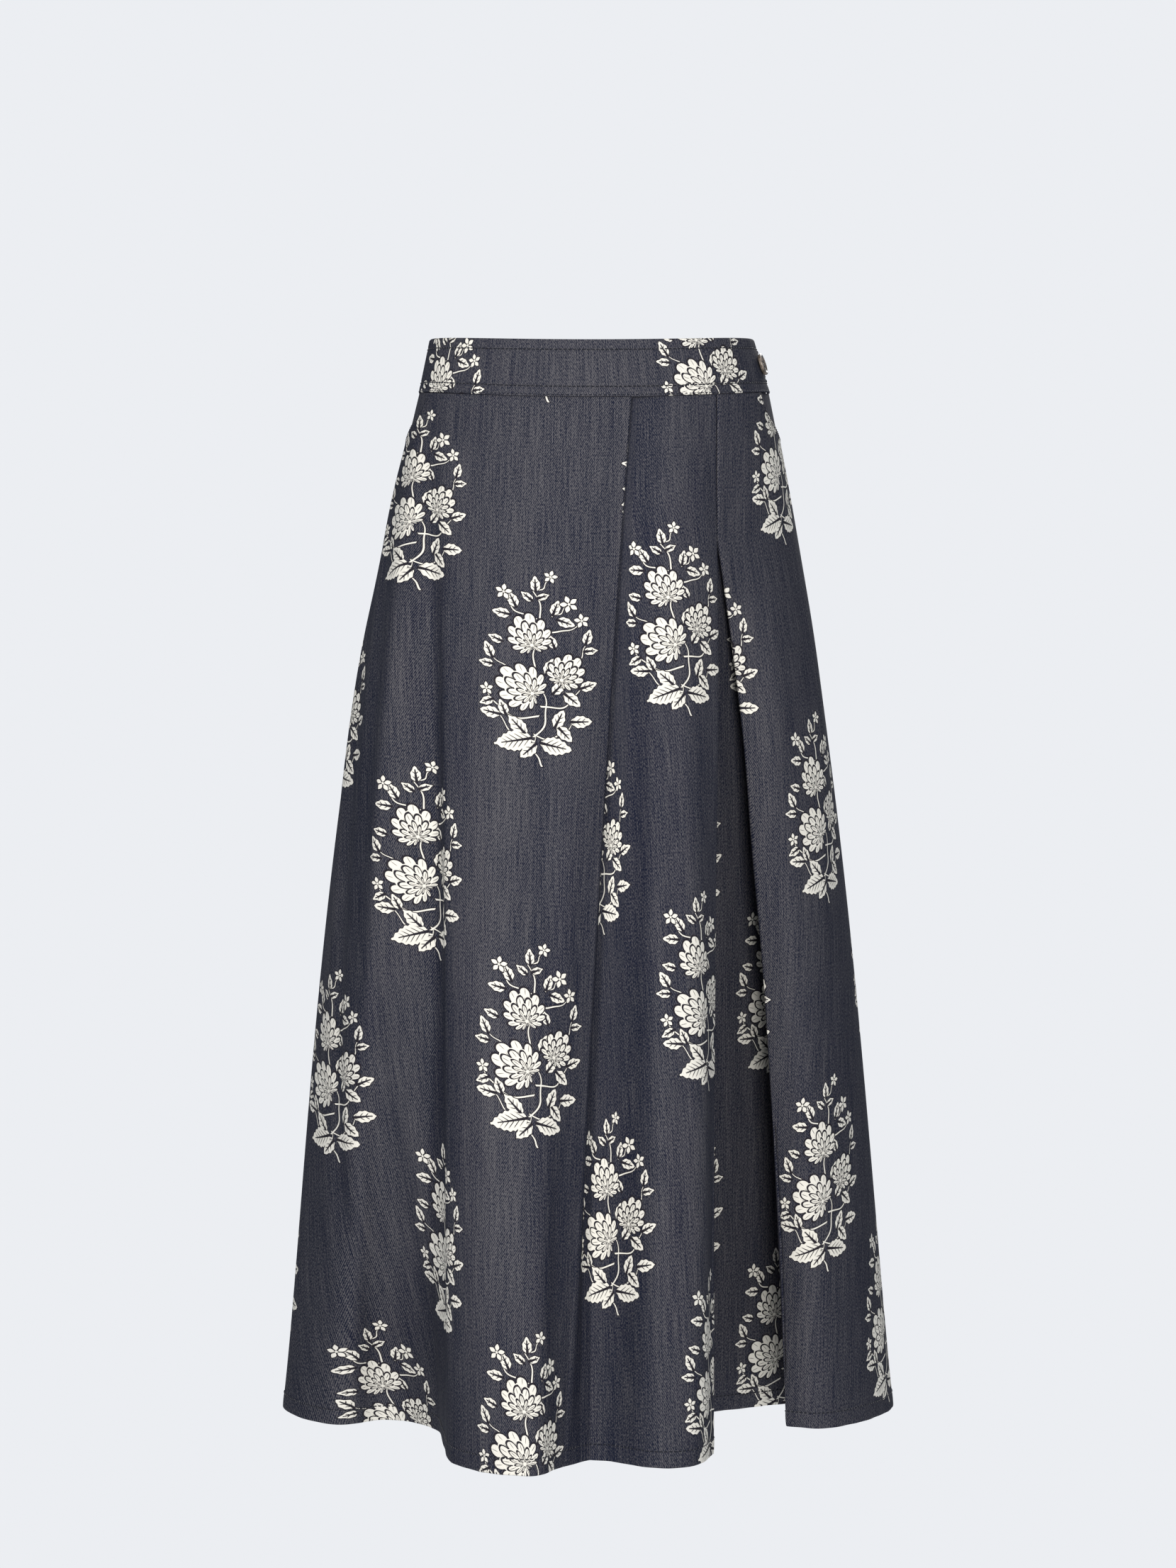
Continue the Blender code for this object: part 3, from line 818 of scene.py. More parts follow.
def band_print(tree, cloth):
    """On the band the middle column shows no spray, and the others lie a little further round."""
    across = fields(tree, cloth, 1)[0]
    moved = (across < BAND_MIDDLE) * (BAND_SHIFT_LEFT - BAND_SHIFT_RIGHT) + BAND_SHIFT_RIGHT
    shift = node(tree, "CombineXYZ", {0: moved}).outputs[0]
    place = node(tree, "VectorMath", {0: cloth, 1: shift}, operation="ADD").outputs[0]
    middle = (across + moved).step("ABSOLUTE") < SPRAY_ACROSS * MM / 2
    return place, 1.0 - middle


# %% The four kinds of denim
WARP = (0.0044, 0.0068, 0.0185, 1)
WEFT = (0.089, 0.086, 0.093, 1)
denim = denim_material("denim_face", WARP, WEFT, 0.40, printed=PANEL_PRINT)
band_denim = denim_material("denim_band", WARP, WEFT, 0.43, printed=BAND_PRINT, layout=band_print)
facing_denim = denim_material("denim_facing", WARP, WEFT, 0.34)
reverse = denim_material("denim_reverse", (0.10, 0.105, 0.125, 1), (0.34, 0.34, 0.36, 1), 0.55)


# %% [markdown]
# ## Creases
# Between its folds a hanging panel is never a clean developable surface. The faint troughs and ridges are
# placed one by one, each along the cloth and each with its own length, width and depth, so that none repeats.

# %% The table of creases
Crease = namedtuple("Crease", "across drift start end width height")
FRONT_CREASES = (
    Crease(-232, -10, 0.10, 0.74, 17, 2.8),
    Crease(-205, -34, 0.30, 1.15, 14, -3.0),
    Crease(-182, 8, 0.02, 0.46, 14, 2.2),
    Crease(-150, -26, 0.16, 0.66, 18, -2.8),
    Crease(-124, -34, 0.14, 1.10, 14, 3.2),
    Crease(-54, -6, 0.10, 1.10, 13, -2.0),
    Crease(-82, -28, 0.08, 1.12, 19, -5.0),
    Crease(-26, -4, 0.05, 1.05, 18, 3.8),
    Crease(6, 8, 0.10, 0.85, 15, -2.2),
    Crease(24, 6, 0.30, 0.80, 10, 1.6),
    Crease(33, -4, 0.34, 1.18, 16, -6.5),
    Crease(128, 12, 0.16, 0.70, 14, -2.4),
    Crease(150, 16, 0.38, 1.12, 15, 3.2),
    Crease(176, 14, 0.05, 0.50, 12, 2.2),
    Crease(112, 6, 0.30, 1.12, 10, 2.6),
    Crease(190, 20, 0.50, 1.16, 13, -2.4),
    Crease(352, 130, 0.16, 0.78, 15, 2.8),
    Crease(470, 120, 0.46, 1.15, 16, -3.0),
    Crease(395, 120, 0.08, 0.60, 15, 2.4),
)
BACK_CREASES = (
    Crease(-150, -40, 0.10, 0.62, 13, 1.6),
    Crease(-112, -30, 0.30, 1.14, 11, -1.5),
    Crease(-76, -20, 0.04, 0.48, 12, 1.3),
    Crease(-40, -12, 0.38, 1.12, 14, 1.7),
    Crease(-12, 4, 0.12, 0.74, 12, -1.3),
    Crease(30, 10, 0.05, 0.44, 11, 1.2),
    Crease(58, 22, 0.34, 1.16, 13, -1.7),
    Crease(96, 26, 0.14, 0.70, 12, 1.5),
    Crease(138, 42, 0.26, 1.12, 12, -1.4),
)


CREASE_WAVER = 3.0  # how far a crease wanders to either side of its straight line


def relief(creases, across, t):
    """Sum of height * exp(-(distance / width)^2), each faded in and out along the cloth by a sine.

    A crease widens on its way down, from 0.8 to 1.3 times its width."""
    total = np.zeros_like(across)
    for crease in creases:
        along = np.clip((t - crease.start) / (crease.end - crease.start), 0, 1)[:, None]
        line = crease.across + crease.drift * along + CREASE_WAVER * np.sin(5.0 * along + crease.across)
        width = crease.width * (0.8 + 0.5 * along)
        total += crease.height * np.sin(np.pi * along) ** 1.3 * np.exp(-(((across - line) / width) ** 2))
    return total


print(len(FRONT_CREASES) + len(BACK_CREASES), "creases placed by hand")

# %% [markdown]
# ## A cloth shell
# A panel is a closed shell: its profile runs down the outer face, turns round the hem and comes back up the
# inner face. Carried along all columns, the profile is one grid of points, (profile, columns). Solidify
# would do the same from a single sheet, but would leave no say over the hem, which is turned up double.

# %% Grids into meshes
def fan_of_faces(count, wide, wraps):
    """Quads of a (count, wide) grid, wound to face out; wraps joins the last row to the first."""
    at = np.arange(count * wide).reshape(count, wide)
    if wraps:
        at = np.concatenate([at, at[:1]])
    return np.stack([at[:-1, :-1], at[1:, :-1], at[1:, 1:], at[:-1, 1:]], axis=-1).reshape(-1, 4)


def end_caps(count, wide, arc=0):
    """Quads that close both ends of a wrapped profile, whose last arc points lie over its first row."""
    i = np.arange(-(arc // 2), (count - arc) // 2 - 1)
    j = count - arc - 1 - i
    quads = np.stack([i, j, j - 1, i + 1], axis=1) % count
    return np.concatenate([quads * wide, quads[:, ::-1] * wide + wide - 1])


# %% Closed strips and objects
def wrapped_faces(rows, inside=False, arc=0):
    """Quads of a wrapped grid with both ends closed, and each quad's slot: 1 in the inside rows, else 0."""
    count, wide = rows.shape[:2]
    faces = np.concatenate([fan_of_faces(count, wide, True), end_caps(count, wide, arc)])
    slots = np.zeros(len(faces), dtype=np.int32)
    slots[: count * (wide - 1)] = np.repeat(np.broadcast_to(inside, count), wide - 1)
    return faces, slots


def add_object(name, data):
    """A new object of this data, in the scene."""
    obj = bpy.data.objects.new(name, data)
    bpy.context.scene.collection.objects.link(obj)
    return obj


def make_mesh(name, points, faces, materials, maps=None, slots=None):
    """A smooth mesh object from arrays in millimetres, with maps read at each corner and kept in metres."""
    mesh = bpy.data.meshes.new(name)
    points = np.asarray(points, dtype=float).reshape(-1, 3) * MM
    faces = np.asarray(faces)
    mesh.vertices.add(len(points))
    mesh.vertices.foreach_set("co", points.ravel())
    mesh.loops.add(faces.size)
    mesh.loops.foreach_set("vertex_index", faces.ravel())
    mesh.polygons.add(len(faces))
    mesh.polygons.foreach_set("loop_start", np.arange(0, faces.size, faces.shape[1]))
    for label, values in (maps or {}).items():
        layer = mesh.uv_layers.new(name=label)
        layer.uv.foreach_set("vector", (np.asarray(values).reshape(-1, 2)[faces.ravel()] * MM).ravel())
    for material in materials:
        mesh.materials.append(material)
    if slots is not None:
        mesh.polygons.foreach_set("material_index", slots)
    mesh.polygons.foreach_set("use_smooth", np.ones(len(faces), dtype=bool))
    mesh.update(calc_edges=True)
    mesh.validate()
    print(name + ":", len(mesh.vertices), "points,", len(mesh.polygons), "faces")
    return add_object(name, mesh)


# %% [markdown]
# ## The two panels
# The rows lie close together beside the pocket mouths and at the hem, and evenly between. The front is
# scooped away at both mouths: there the columns draw together towards a line a little nearer the centre.

# %% Rows and pocket mouths
MOUTH_START = 70.0  # degrees round to the pocket mouth's upper end
MOUTH_DEEP = 37.0
MOUTH_SCOOP = 2.2  # above 1 the mouth runs down first, then out to the side
FACING_FROM = 62.0
FACING_DEEP = 82.0
FACING_IN = 1.6
HEM_TURN = 12.0  # height of the turned-up hem
HEM_ROWS = (16, 13.5, 12.4, 11.9, 11.3, 9, 6, 3, 1.2)  # above the hem's edge

CLOSE_ROWS_DEEP = MOUTH_DEEP * 1.08  # the close rows end a little below the mouths
HEM_FROM = 22.0  # height above the hem where the even rows end
PLAIN_FROM = 58.0  # degrees round to where no tuck or pleat lies any more

MOUTH_SHARES = np.linspace(0, CLOSE_ROWS_DEEP / LENGTH, 15)
BODY_SHARES = np.linspace(MOUTH_SHARES[-1], 1 - HEM_FROM / LENGTH, 106)[1:]
HEM_SHARES = 1 - np.array(HEM_ROWS) / LENGTH
SHARES = np.concatenate([MOUTH_SHARES, BODY_SHARES, HEM_SHARES])
DROP = SHARES * LENGTH


def mouth_edge(drop):
    """Degrees round to the mouth's edge: side - (side - start)(1 - share ** scoop)."""
    share = np.clip(drop / MOUTH_DEEP, 0, 1)
    return SIDE_SEAM - (SIDE_SEAM - MOUTH_START) * (1 - share**MOUTH_SCOOP)


# %% Scooping the mouths
def column_at(lines, degrees):
    """Fractional column at these degrees, read in the plain stretch next to the side seam."""
    tags = lines[0, :, 3]
    plain = np.nonzero(tags * np.sign(np.mean(degrees)) > PLAIN_FROM)[0]
    return np.interp(degrees, tags[plain], plain)


def scooped(lines, drop):
    """Columns beyond the facing's front edge are spread evenly from there to the mouth's edge."""
    count = lines.shape[1]
    index = np.tile(np.arange(count, dtype=float), (len(lines), 1))
    for side, end in ((-1, 0), (1, count - 1)):
        kept = column_at(lines, side * mouth_edge(drop))
        anchor = float(column_at(lines, side * FACING_FROM))
        beyond = (np.arange(count) - anchor) * side > 0
        share = (np.arange(count)[beyond] - anchor) / (end - anchor)
        index[:, beyond] = anchor + (kept[:, None] - anchor) * share
    return read_at(lines, index)


def off_the_seam(lines):
    """The lines with an eighth of the seam gap taken off each end, so that no light shows between."""
    lines = lines.copy()
    for end, next_to in ((0, 1), (-1, -2)):
        way = lines[:, next_to] - lines[:, end]
        lines[:, end] += way / np.linalg.norm(way[:, :2], axis=1, keepdims=True) * SEAM_GAP / 8
    return lines


# %% A panel's lines
def panel_lines(folds, eases, parts, creases):
    """Lines with eight channels: x, y, z, degrees, layer, across and down on the cloth, height of creases."""
    lines = section_lines(folds, SHARES)
    places = cloth_places(folds, lines, SHARES, eases, parts)
    shown = np.clip(1 - 2 * lines[..., 4:5], 0, 1)
    from_grain = cloth_places(folds, lines, SHARES, (), parts[:1])[..., 0]
    raised = relief(creases, from_grain, SHARES)[..., None] * shown
    lines[..., :3] += normals(lines) * raised
    return np.concatenate([lines, places, raised], axis=2)


# %% The wall of a panel
def ends_turned_in(count, reach=3, depth=0.9):
    """How far the wall turns in towards a seam: depth * (1 - i / reach) ** 2, i columns from either end."""
    from_end = np.minimum(np.arange(count), np.arange(count)[::-1])
    return depth * np.clip(1 - from_end / reach, 0, 1) ** 2


HEM_PLUMP = 0.35  # how far the turned-up hem swells out over its stitching
HEM_WAVER = 0.5
HEM_DOUBLED = CLOTH * 0.55  # how much further in its inner face lies
HEM_EDGE = 1.2  # how far the round of its edge reaches down


def panel_faces(lines):
    """Outer and inner face of a panel's wall, and how the hem's edge wavers from column to column.

    The turned-up hem is a little thicker than the rest, and wavers by two sines of the place along the
    cloth. Towards each seam the wall turns in."""
    outward = normals(lines)
    turned = ends_turned_in(lines.shape[1])
    hem_share = np.clip(1 - (1 - SHARES) * LENGTH / HEM_TURN, 0, 1)[:, None]
    waver = 0.35 * np.sin(lines[-1, :, 5] / 7.0) + 0.25 * np.sin(lines[-1, :, 5] / 3.1 + 1.0)
    plump = HEM_PLUMP * np.sin(np.pi * hem_share) ** 0.5 + HEM_WAVER * hem_share * waver
    doubled = HEM_DOUBLED * (hem_share > 0) * np.clip(1 - lines[..., 4], 0, 1)
    outer = lines[..., :3] + outward * (CLOTH / 2 + plump - turned)[..., None]
    inner = lines[..., :3] - outward * (CLOTH / 2 + doubled + turned)[..., None]
    return outer, inner, waver


# %% Painted shade: where the cloth turns away, lies in a crease or comes from under the tuck
# Painted light and shade: each millimetre of a crease's height adds this much weft, so ridges are painted
# lighter and troughs darker.
PAINTED_CREASE_SHADE = 0.07  # for each millimetre of a crease's height
PAINTED_TUCK_SHADE = 0.55  # how much less weft the cloth that comes out from under the tuck shows: a painted shadow of the tuck
TUCK_AT, TUCK_REACH = 12.0, 16.0  # degrees round to the tuck, and to either side of it


def painted_shade_map(lines, front_way):
    """Painted shade, as a map: 1 where the cloth faces straight out of its panel and 0 edgeways.

    Crease heights paint a ridge lighter and a trough darker, and the cloth that comes out from under the tuck
    gets less, a painted shadow of the tuck."""
    square = np.clip(-normals(lines)[..., 1] * front_way, 0, 1) + PAINTED_CREASE_SHADE * lines[..., 7]
    if front_way > 0:
        square -= PAINTED_TUCK_SHADE * np.clip(lines[..., 4], 0, 1) * (np.abs(lines[..., 3] - TUCK_AT) < TUCK_REACH)
    return np.stack([square, np.zeros_like(square)], axis=-1) / MM


# %% The shell
def panel_shell(name, lines, front_way, materials):
    """The closed shell of a panel: outer face, an arc round the hem's edge, and the inner face back up."""
    outer, inner, waver = panel_faces(lines)
    middle, half = (outer[-1] + inner[-1]) / 2, (outer[-1] - inner[-1]) / 2
    turn = np.radians((28, 66, 114, 152))[:, None, None]
    drop = np.array((0, 0, -1.0)) * (HEM_EDGE + 0.3 * waver)[:, None]
    edge = middle + half * np.cos(turn) + drop * np.sin(turn)
    rows = np.concatenate([outer, edge, inner[::-1]])
    # The second map carries painted shade: less weft where the cloth turns away or lies in a trough.
    maps = {"cloth": lines[..., 5:7], "painted_shade": painted_shade_map(lines, front_way)}
    maps = {label: np.concatenate([flat, np.repeat(flat[-1:], len(edge), axis=0), flat[::-1]])
            for label, flat in maps.items()}
    faces, slots = wrapped_faces(rows, np.arange(len(rows)) > len(outer) + 1)
    return make_mesh(name, rows, faces, materials, maps, slots)


# %% [markdown]
# ## The waistband
# The band is one contoured strip of two layers. It laps over itself at the wearer's left, where the tab
# slides under the upper end. Its profile is a flat loop with round edges, and the two rows of stitching
# draw the outer face in a little. The profile is carried round the waist ring from end to end.

# %% The band's path and profile
BAND_WALL = 2.4
LAP_END = 90.0  # degrees round to the band's upper end
LAP_TAB = 66.0  # degrees round to the end of the tab beneath it
LAP_GAP = 0.5
LOWER_IN = 1.1  # how far the lower edge is drawn in, so that the panels flow on from it
BAND_STITCH = 8.0  # from each edge of the band to its row of stitching
BAND_COLUMNS = 760
BAND_ROWS = np.array((1.2, 2.2, 4, 6, 7.1, 7.6, 8.0, 8.4, 8.9, 10, 12.5, 15, 17.5, 20))  # down from the top
DRAWN_IN = 0.55  # how deep a row of stitching draws the face in
DRAWN_WIDE = 1.2
PUCKER = 0.09
PUCKER_WAVE = 0.9  # millimetres along to a radian of it
PUCKER_IN = 4.0  # where it is highest, from either edge, and how far it spreads


def inside_lap(degrees):
    """How far the strip lies inside the ring: a full layer under the lap, then less, then nothing."""
    tucked = np.clip((degrees - (LAP_TAB - 360)) / (LAP_END - LAP_TAB), 0, None)
    return (BAND_WALL + LAP_GAP) * np.clip(2.0 - tucked, 0, 1)


def band_edges(degrees):
    """Points of the middle of the strip along its top edge and along the waist seam."""
    inside = inside_lap(degrees)
    return on_ring(TOP_EDGE, degrees, inside), on_ring(WAIST_SEAM, degrees, inside + LOWER_IN)


def band_place(degrees, down, out):
    """Points at arrays of degrees, millimetres down from the top edge, and millimetres out of the middle."""
    top, seam = band_edges(degrees)
    height = np.linalg.norm(seam - top, axis=-1)
    step = 0.05
    ahead = (sum(band_edges(degrees + step)) - sum(band_edges(degrees - step))) / 2
    outward = np.stack([ahead[..., 1], -ahead[..., 0], np.zeros_like(height)], axis=-1)
    outward /= np.linalg.norm(outward, axis=-1, keepdims=True)
    return top + (seam - top) * (down / height)[..., None] + outward * np.asarray(out)[..., None]


# %% The band as a closed strip
def waistband(materials):
    """The closed strip: outer face, round lower edge, inner face and round upper edge, at every column.

    The face is drawn in by exp(-(distance / wide)^2) at each row of stitching. Between row and edge the
    sewing leaves a pucker, a sine along the band whose waves come and go."""
    degrees = np.linspace(LAP_TAB - 360, LAP_END, BAND_COLUMNS)
    top, seam = band_edges(degrees)
    height = np.linalg.norm(seam - top, axis=1)
    along = path_length((top + seam) / 2)
    along -= np.interp(0, degrees, along)
    lower = BAND_ROWS[::-1]
    down = np.concatenate([np.broadcast_to(BAND_ROWS[:, None], (len(BAND_ROWS), len(degrees))),
                           height - lower[:, None]])
    half = BAND_WALL / 2
    from_edge = np.minimum(down, height - down)
    drawn_in = DRAWN_IN * np.exp(-(((from_edge - BAND_STITCH) / DRAWN_WIDE) ** 2))
    waves = np.sin(along / PUCKER_WAVE + 1.5 * np.sin(along / 17))
    waves = waves * np.exp(-(((from_edge - PUCKER_IN) / PUCKER_IN) ** 2))
    pad = half - drawn_in + PUCKER * waves - ends_turned_in(len(degrees))
    turn = np.radians((30, 62, 118, 150))[:, None]
    low_arc = height - half + half * np.sin(turn), half * np.cos(turn) * np.ones_like(height)
    high_arc = half - half * np.sin(turn), -half * np.cos(turn) * np.ones_like(height)
    downs = np.concatenate([down, low_arc[0], down[::-1], high_arc[0] * np.ones_like(height)])
    outs = np.concatenate([pad, low_arc[1], -half + 0 * down, high_arc[1]])
    rows = band_place(np.tile(degrees, (len(downs), 1)), downs, outs)
    flat = np.stack([np.tile(along, (len(downs), 1)), downs], axis=-1)
    row = np.arange(len(rows))
    faces, slots = wrapped_faces(rows, (row >= len(down) + 3) & (row < 2 * len(down) + 5), len(turn))
    # Painted shade: the band's second map runs from 1 at front and back to 0 at the sides, so less weft shows
    # there and the sides are darker.
    painted_shade = np.stack(np.broadcast_arrays(np.abs(np.cos(np.radians(degrees))) / MM, 0 * downs), axis=-1)
    maps = {"cloth": flat, "painted_shade": painted_shade}
    return make_mesh("waistband_cloth", rows, faces, materials, maps, slots)


# %% [markdown]
# ## Pocket facings
# Behind each scooped mouth shows a strip of the same denim, sewn to the side seam. It follows the front
# panel's own section lines, moved a little further in.

# %% The facings
FACING_ROWS, FACING_COLUMNS = 26, 28
FACING_STEP = 2.4  # millimetres of cloth to a degree round


def facing_shell(name, side, material):
    """The front's lines from the facing's edge to the side seam, moved in by FACING_IN, as a closed shell."""
    drop = np.linspace(0, FACING_DEEP, FACING_ROWS)
    lines = off_the_seam(section_lines(FRONT, drop / LENGTH))
    ends = sorted((side * FACING_FROM, side * SIDE_SEAM))
    columns = column_at(lines, np.linspace(*ends, FACING_COLUMNS))
    strip = read_at(lines, np.tile(columns, (len(lines), 1)))
    outward = normals(strip)
    middle = strip[..., :3] - outward * FACING_IN
    rows = np.concatenate([middle + outward * CLOTH / 2, (middle - outward * CLOTH / 2)[::-1]])
    along = np.linspace(0, (ends[1] - ends[0]) * FACING_STEP, FACING_COLUMNS)
    flat = np.stack(np.broadcast_arrays(along[None], drop[:, None]), axis=-1)
    faces, slots = wrapped_faces(rows)
    return make_mesh(name, rows, faces, (material,), {"cloth": np.concatenate([flat, flat[::-1]])}, slots)


# %% [markdown]
# ## The cloth pieces
# Each piece replaces its plain solid and rides on the part's one body.

# %% The panels, the band and the facings
front_lines = off_the_seam(scooped(panel_lines(FRONT, FRONT_EASES, FRONT_PARTS, FRONT_CREASES), DROP))
front = panel_shell("front_cloth", front_lines, 1, (denim, reverse))
back_lines = off_the_seam(panel_lines(BACK, (), BACK_PARTS, BACK_CREASES))
back = panel_shell("back_cloth", back_lines, -1, (denim, reverse))
band = waistband((band_denim, facing_denim))
facing_right = facing_shell("facing_right_cloth", -1, facing_denim)
facing_left = facing_shell("facing_left_cloth", 1, facing_denim)
for piece, solid in ((front, "front_panel"), (back, "back_panel"), (band, "waistband"),
                     (facing_right, "pocket_facing_right"), (facing_left, "pocket_facing_left")):
    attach(piece, "root")
    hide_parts(solid)

# %% [markdown]
# ## Stitching
# The seams are sewn in thick navy thread. A stitch is a small capsule that dives into the cloth at both
# ends. All of them are worked out at once from the path that they follow, and joined in one mesh.

# %% Stitches along paths
STITCH_PITCH = 3.5
STITCH_LONG = 2.9
THREAD = 0.48  # half the width of the thread
RING_SIDES = 6
STITCH_RINGS = ((-0.5, 0.25, -0.7), (-0.36, 0.85, 0.1), (0, 1, 0.45), (0.36, 0.85, 0.1), (0.5, 0.25, -0.7))


def read_path(path, length, wanted):
    """The path's points where its length has these values."""
    return np.stack([np.interp(wanted, length, column) for column in path.T], axis=-1)


def stitches(path, outward, pitch=STITCH_PITCH, long=STITCH_LONG, thick=THREAD):
    """Rings of points (stitches, 5, sides, 3): centre path + thick * (cos across + 0.8 sin outward).

    STITCH_RINGS gives each ring's place along the stitch, and its width and rise over the thread's."""
    length = path_length(path)
    count = max(1, int(length[-1] / pitch))
    middles = (np.arange(count) + 0.5) * length[-1] / count
    share, swell, rise = np.array(STITCH_RINGS).T
    at = middles[:, None] + share * long
    centre = read_path(path, length, at)
    out = read_path(outward, length, at)
    along = centre[:, -1:] - centre[:, :1]
    along = along / np.linalg.norm(along, axis=-1, keepdims=True)
    across = np.cross(along, out)
    turn = np.arange(RING_SIDES) * math.tau / RING_SIDES
    ring = across[:, :, None] * np.cos(turn)[:, None] + out[:, :, None] * np.sin(turn)[:, None] * 0.8
    return (centre + out * (thick * rise)[:, None])[:, :, None] + ring * (thick * swell)[:, None, None]


# %% Stitches in one mesh
def joined_stitches(name, groups, material):
    """One mesh of many stitches: five rings each, joined by quads and closed by two quads at both ends."""
    rings = np.concatenate(groups)
    points = RING_SIDES * len(STITCH_RINGS)
    at = np.arange(points).reshape(-1, RING_SIDES)
    ahead = np.roll(at, -1, axis=1)
    sides = np.stack([at[:-1], ahead[:-1], ahead[1:], at[1:]], axis=-1).reshape(-1, 4)
    end = np.array(((3, 2, 1, 0), (5, 4, 3, 0)))
    other_end = points - RING_SIDES + np.array(((0, 1, 2, 3), (0, 3, 4, 5)))
    one = np.concatenate([sides, end, other_end])
    faces = (one[None] + (np.arange(len(rings)) * points)[:, None, None]).reshape(-1, 4)
    print(len(rings), "stitches")
    return make_mesh(name, rings, faces, (material,))


# %% Where the stitching runs
ROW_START, ROW_END = -269.0, LAP_END - 2.2  # degrees round, from where the rows come out from under the lap
END_ROW = LAP_END - 2.4  # degrees round to the row beside the lap's end
END_ROW_DEEP = 35.0
ROW_SUNK = 0.3  # how far the rows round the band lie in its face
EDGE_STITCH = 1.5  # from the waist seam up to the edge row
MOUTH_STITCH = (1.8, 7.5)  # from a pocket mouth's edge to its two rows


def band_stitches(degrees, down, out):
    """Stitches along the band at these degrees and millimetres down, this far out of its middle."""
    path = band_place(degrees, down, out)
    return stitches(path, path - band_place(degrees, down, out - 1))


def band_row(from_top=None, from_seam=None):
    """A row round the band, from the lap's end round to the side where it goes under the lap."""
    degrees = np.linspace(ROW_START, ROW_END, 900)
    top, seam = band_edges(degrees)
    height = np.linalg.norm(seam - top, axis=1)
    down = np.full_like(height, from_top) if from_seam is None else height - from_seam
    return band_stitches(degrees, down, BAND_WALL / 2 - ROW_SUNK)


def band_end_row():
    """The row beside the lap's end, from the upper row of stitching down to the lower."""
    down = np.linspace(BAND_STITCH, END_ROW_DEEP, 30)
    return band_stitches(np.full_like(down, END_ROW), down, BAND_WALL / 2)


# %% Rows on the panels
def hem_row(lines):
    """The row that holds the turned-up hem, along the outer face at the hem's turn."""
    row = int(np.argmin(np.abs((1 - SHARES) * LENGTH - HEM_TURN)))
    outer = panel_faces(lines)[0]
    return stitches(outer[row], normals(lines)[row])


def mouth_row(lines, side, from_edge):
    """A row that follows a pocket mouth, this far in from its edge."""
    rows = slice(0, len(MOUTH_SHARES) - 1)
    outer, outward = panel_faces(lines)[0][rows], normals(lines)[rows]
    end = 0 if side < 0 else outer.shape[1] - 1
    step = np.linalg.norm(outer[:, end] - outer[:, end - side * 4], axis=1) / 4
    index = (end - side * (from_edge / step))[:, None]
    return stitches(read_at(outer, index)[:, 0], read_at(outward, index)[:, 0])


# %% Thread, and all the stitching
def thread_material():
    """Navy thread, whose fine twist is noise over Object coordinates."""
    material, tree, shader = surface_material("navy_thread", roughness=0.6, sheen=0.2)
    shader.inputs["Base Color"].default_value = (0.004, 0.005, 0.011, 1)
    place = node(tree, "TexCoord").outputs["Object"]
    twist = node(tree, "TexNoise", {"Vector": place, "Scale": 2600.0, "Detail": 1.0}).outputs[0]
    bump(tree, shader, twist, 0.1 * MM, strength=0.6)
    return material


thread = thread_material()
rows = [band_row(from_top=BAND_STITCH), band_row(from_seam=BAND_STITCH), band_row(from_seam=EDGE_STITCH),
        band_end_row(), hem_row(front_lines), hem_row(back_lines)]
rows += [mouth_row(front_lines, side, distance) for side in (-1, 1) for distance in MOUTH_STITCH]
topstitching = joined_stitches("topstitching", rows, thread)
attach(topstitching, "root")

# %% [markdown]
# ## The button
# A turned button of horn: a raised rim, a dished middle and four holes, sewn through with navy thread. It is
# a surface in polar coordinates, height over radius and angle, and the holes are deep pits in that height.

# %% The button
BUTTON_AT = 80.0  # degrees round
BUTTON_HOLE = 1.1  # radius of a hole
BUTTON_SPREAD = 1.9  # from the middle to a hole, along and up
HOLE_DEEP = 1.7
HOLE_SLOPE = 0.25  # width of a hole's wall
BUTTON_SIDES = 72
BUTTON_PROFILE = (  # radius and height, from the middle of the face over the rim to the middle of the back
    (0, 2.3), (5.0, 2.3), (5.8, 2.5), (6.5, 3.0), (7.2, 3.2), (7.8, 3.1), (8.3, 2.7),
    (8.5, 2.1), (8.35, 1.3), (7.9, 0.6), (7.2, 0.15), (6.5, 0.0), (0, 0.0),
)
BUTTON_ROWS = 104
POLE = 0.12  # radius left open at both middles, and filled by one face
RIM_TOP = 4  # number of the profile's highest point; the holes lie within it


def button_axes():
    """Where the button's back sits, and its axes: along the band, up it and out of it."""
    middle, ahead = (sum(band_edges(at)) / 2 for at in (BUTTON_AT, BUTTON_AT + 1))
    top, seam = band_edges(BUTTON_AT)
    up = (top - seam) / np.linalg.norm(top - seam)
    along = ahead - middle
    along -= up * np.dot(along, up)
    along /= np.linalg.norm(along)
    out = np.cross(along, up)
    return middle + out * (BAND_WALL / 2 + SEAM_GAP), along, up, out


